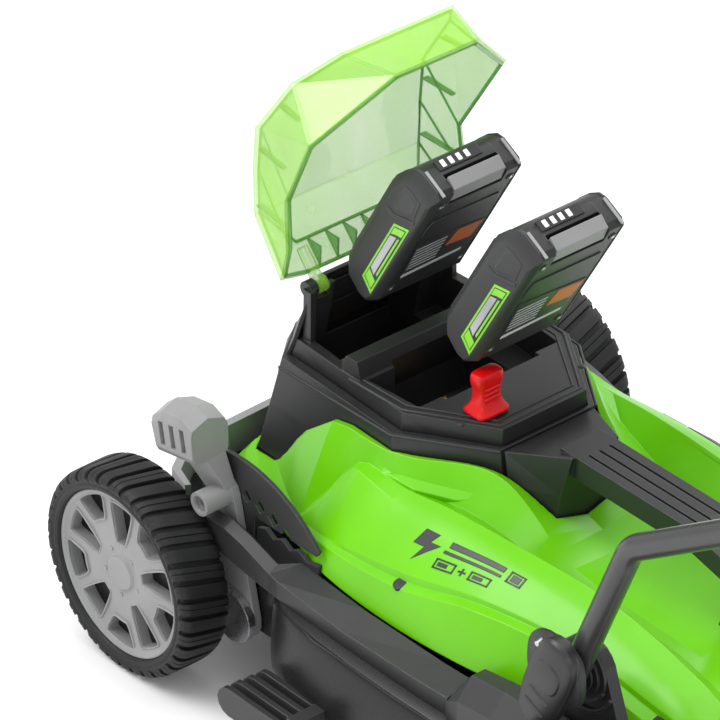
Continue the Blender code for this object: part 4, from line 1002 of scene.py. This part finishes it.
def front_screen():
    """The sloping wall ahead of the front well, up to the hinge line."""
    bm = bmesh.new()

    def ring(z, half, back, front):
        outer = [(-half, back), (-47, front), (47, front), (half, back)]
        inner = [(half - 2, back - 3), (46, front - 2.6), (-46, front - 2.6), (-half + 2, back - 3)]
        return [place(x, y, z) for x, y in outer + inner]
    add_loft(bm, [ring(212, 82, -22, 8.6), ring(244, 76, -33, -9.5), ring(273, 71.5, -40, -26.6),
                  ring(276, 70.5, -41, -28.6)])
    finish_mesh("housing_screen", bm, DARK, "chassis", bevel=1.0, segments=3)


def housing_trim():
    bm = bmesh.new()
    for inset, z, radius in ((2.5, 243.6, 1.5), (8.5, 243.9, 1.0)):
        right = [(82 - inset, -100, z), (80 - inset, -156 + inset * 0.3, z),
                 (39 - inset * 0.4, -219 + inset, z)]
        line = right + [(-x, y, z) for x, y, z in reversed(right)]
        add_bead(bm, [place(*point) for point in line], radius)
    for side in (-1, 1):
        add_bead(bm, [place(side * x, y, z) for x, y, z in
                      ((93.5, -38, 229.5), (92.5, -92, 229.5), (90.5, -158, 229.3),
                       (46.0, -225, 229.2))], 1.2)
    finish_mesh("housing_trim", bm, DARK, "chassis")
    web = bmesh.new()
    outline = [(-82, 112.6), (-82, 138), (-92, 142), (-101, 137), (-110, 142), (-119, 137), (-128, 142),
               (-138, 137), (-151, 140), (-151, 112.6)]
    add_loft(web, [[place(x, y, z) for y, z in outline] for x in (-152.4, -148.4)])
    finish_mesh("quadrant_web", web, DARK, "chassis", bevel=0.6)
    hole = bmesh.new()
    for x in (-58.0, 58.0):
        add_rod(hole, place(x, -196, 243.4), place(x, -196, 244.6), 2.6, 24)
        add_rod(hole, place(x, -196, 244.0), place(x, -196, 245.0), 1.5, 6)
    finish_mesh("housing_screws", hole, BLACK, "chassis")


def deck_volute(side, word):
    """Glossy moulded wall on the deck's flank: rounded shoulders, smooth along its length."""
    stations = [(-113, 157.0), (-116, 164.0), (-121, 171.5), (-129, 179.0), (-142, 184.5),
                (-162, 189.0), (-185, 192.0), (-225, 193.8), (-270, 194.6), (-315, 193.6),
                (-345, 191.4), (-354, 189.5)]
    bm = bmesh.new()
    rings = []
    for y, x_out in stations:
        section = [(146, 50), (x_out - 2.0, 50), (x_out - 0.6, 53), (x_out, 60), (x_out + 0.3, 72),
                   (x_out - 0.2, 84), (x_out - 1.0, 94), (x_out - 2.2, 103), (x_out - 3.6, 109),
                   (x_out - 6.0, 112.7), (146, 112.7)]
        rings.append([place(side * x, y, z) for x, z in section])
    add_loft(bm, rings)
    finish_mesh(f"deck_flank_{word}", bm, GLOSS, "chassis", angle=60.0)


def window_shade_disc(name, side, track, axle, radius, width, body):
    """Dark inner disc behind the wheel's windows: painted shade standing in for the shade inside them."""
    at = wheel_mapper(side, track, axle)
    half = width / 2
    outer = radius * RIM_SHARE - 5.2
    bm = bmesh.new()
    section = ((22.0, 17.6), (outer, 17.6), (outer, 16.2), (22.0, 16.2))
    add_loft(bm, [[at(u, v, half - out) for u, v in circle(r, 72)] for r, out in section],
             around=True)
    finish_mesh(name, bm, GLOSS, body)


GLOSS = plastic("gloss_black", (0.010, 0.010, 0.011), 0.30, 1200.0, 0.06, (0.02, 0.02, 0.021),
                0.0004, 0.1, 0.3)
dress(frame["nodes"]["deck_shell"], GLOSS)
key()
front_screen()
housing_trim()
for SIDE, WORD in SIDES:
    deck_volute(SIDE, WORD)
    for END, *SIZE in WHEEL_PAIRS:
        # painted shade: a dark disc inside each wheel darkens its windows
        window_shade_disc(f"{END}_back_{WORD}", SIDE, *SIZE, f"{END}_{WORD}_wheel")


# ---- studio -----------------------------------------------------------------------
def floor_material():
    material, tree, shader = new_material("pale_floor")
    tone = mix_colour(tree, noise(tree, 3.0), (0.88, 0.88, 0.88), (0.93, 0.93, 0.93))
    feed(tree, shader, Base_Color=tone, Roughness=0.7, Specular_IOR_Level=0.2)
    return material


def make_floor():
    bm = bmesh.new()
    bmesh.ops.create_grid(bm, x_segments=8, y_segments=8, size=14.0)
    obj = mesh_object("floor", bm)
    obj.data.materials.append(floor_material())


def area_light(name, location, target, size, power):
    data = bpy.data.lights.new(name, "AREA")
    data.shape = "RECTANGLE"
    data.size, data.size_y = size
    data.energy = power
    obj = bpy.data.objects.new(name, data)
    obj.location = location
    aim = Vector(target) - Vector(location)
    obj.rotation_mode = "QUATERNION"
    obj.rotation_quaternion = aim.to_track_quat("-Z", "Y")
    bpy.context.scene.collection.objects.link(obj)


def studio():
    world = bpy.data.worlds.new("studio")
    world.use_nodes = True
    tree = world.node_tree
    feed(tree, tree.nodes["Background"], Color=(1.0, 1.0, 1.0, 1.0), Strength=0.75)
    bpy.context.scene.world = world
    area_light("key", (-1.6, 1.6, 2.6), (0.0, 0.3, 0.15), (1.8, 1.2), 55.0)
    area_light("fill", (-2.2, -2.4, 1.8), (0.0, 0.2, 0.15), (2.2, 1.4), 18.0)
    area_light("top", (0.2, 0.2, 3.0), (0.0, 0.2, 0.1), (2.0, 2.0), 30.0)
    area_light("rim", (2.4, 1.0, 1.6), (0.0, 0.2, 0.2), (1.4, 1.4), 25.0)
    view = bpy.context.scene.view_settings
    view.view_transform = "Standard"
    view.look = "None"
    view.exposure = 0.0


def camera():
    data = bpy.data.cameras.new("photo_view")
    data.lens = 300.0
    data.sensor_width = 36.0
    data.clip_end = 40.0
    obj = bpy.data.objects.new("photo_view", data)
    back = Vector((-0.547508, -0.637953, 0.541526))
    obj.location = (-2.422108, -2.298115, 2.582578)
    obj.rotation_mode = "QUATERNION"
    obj.rotation_quaternion = (-back).to_track_quat("-Z", "Y")
    bpy.context.scene.collection.objects.link(obj)
    bpy.context.scene.camera = obj


make_floor()
studio()
camera()
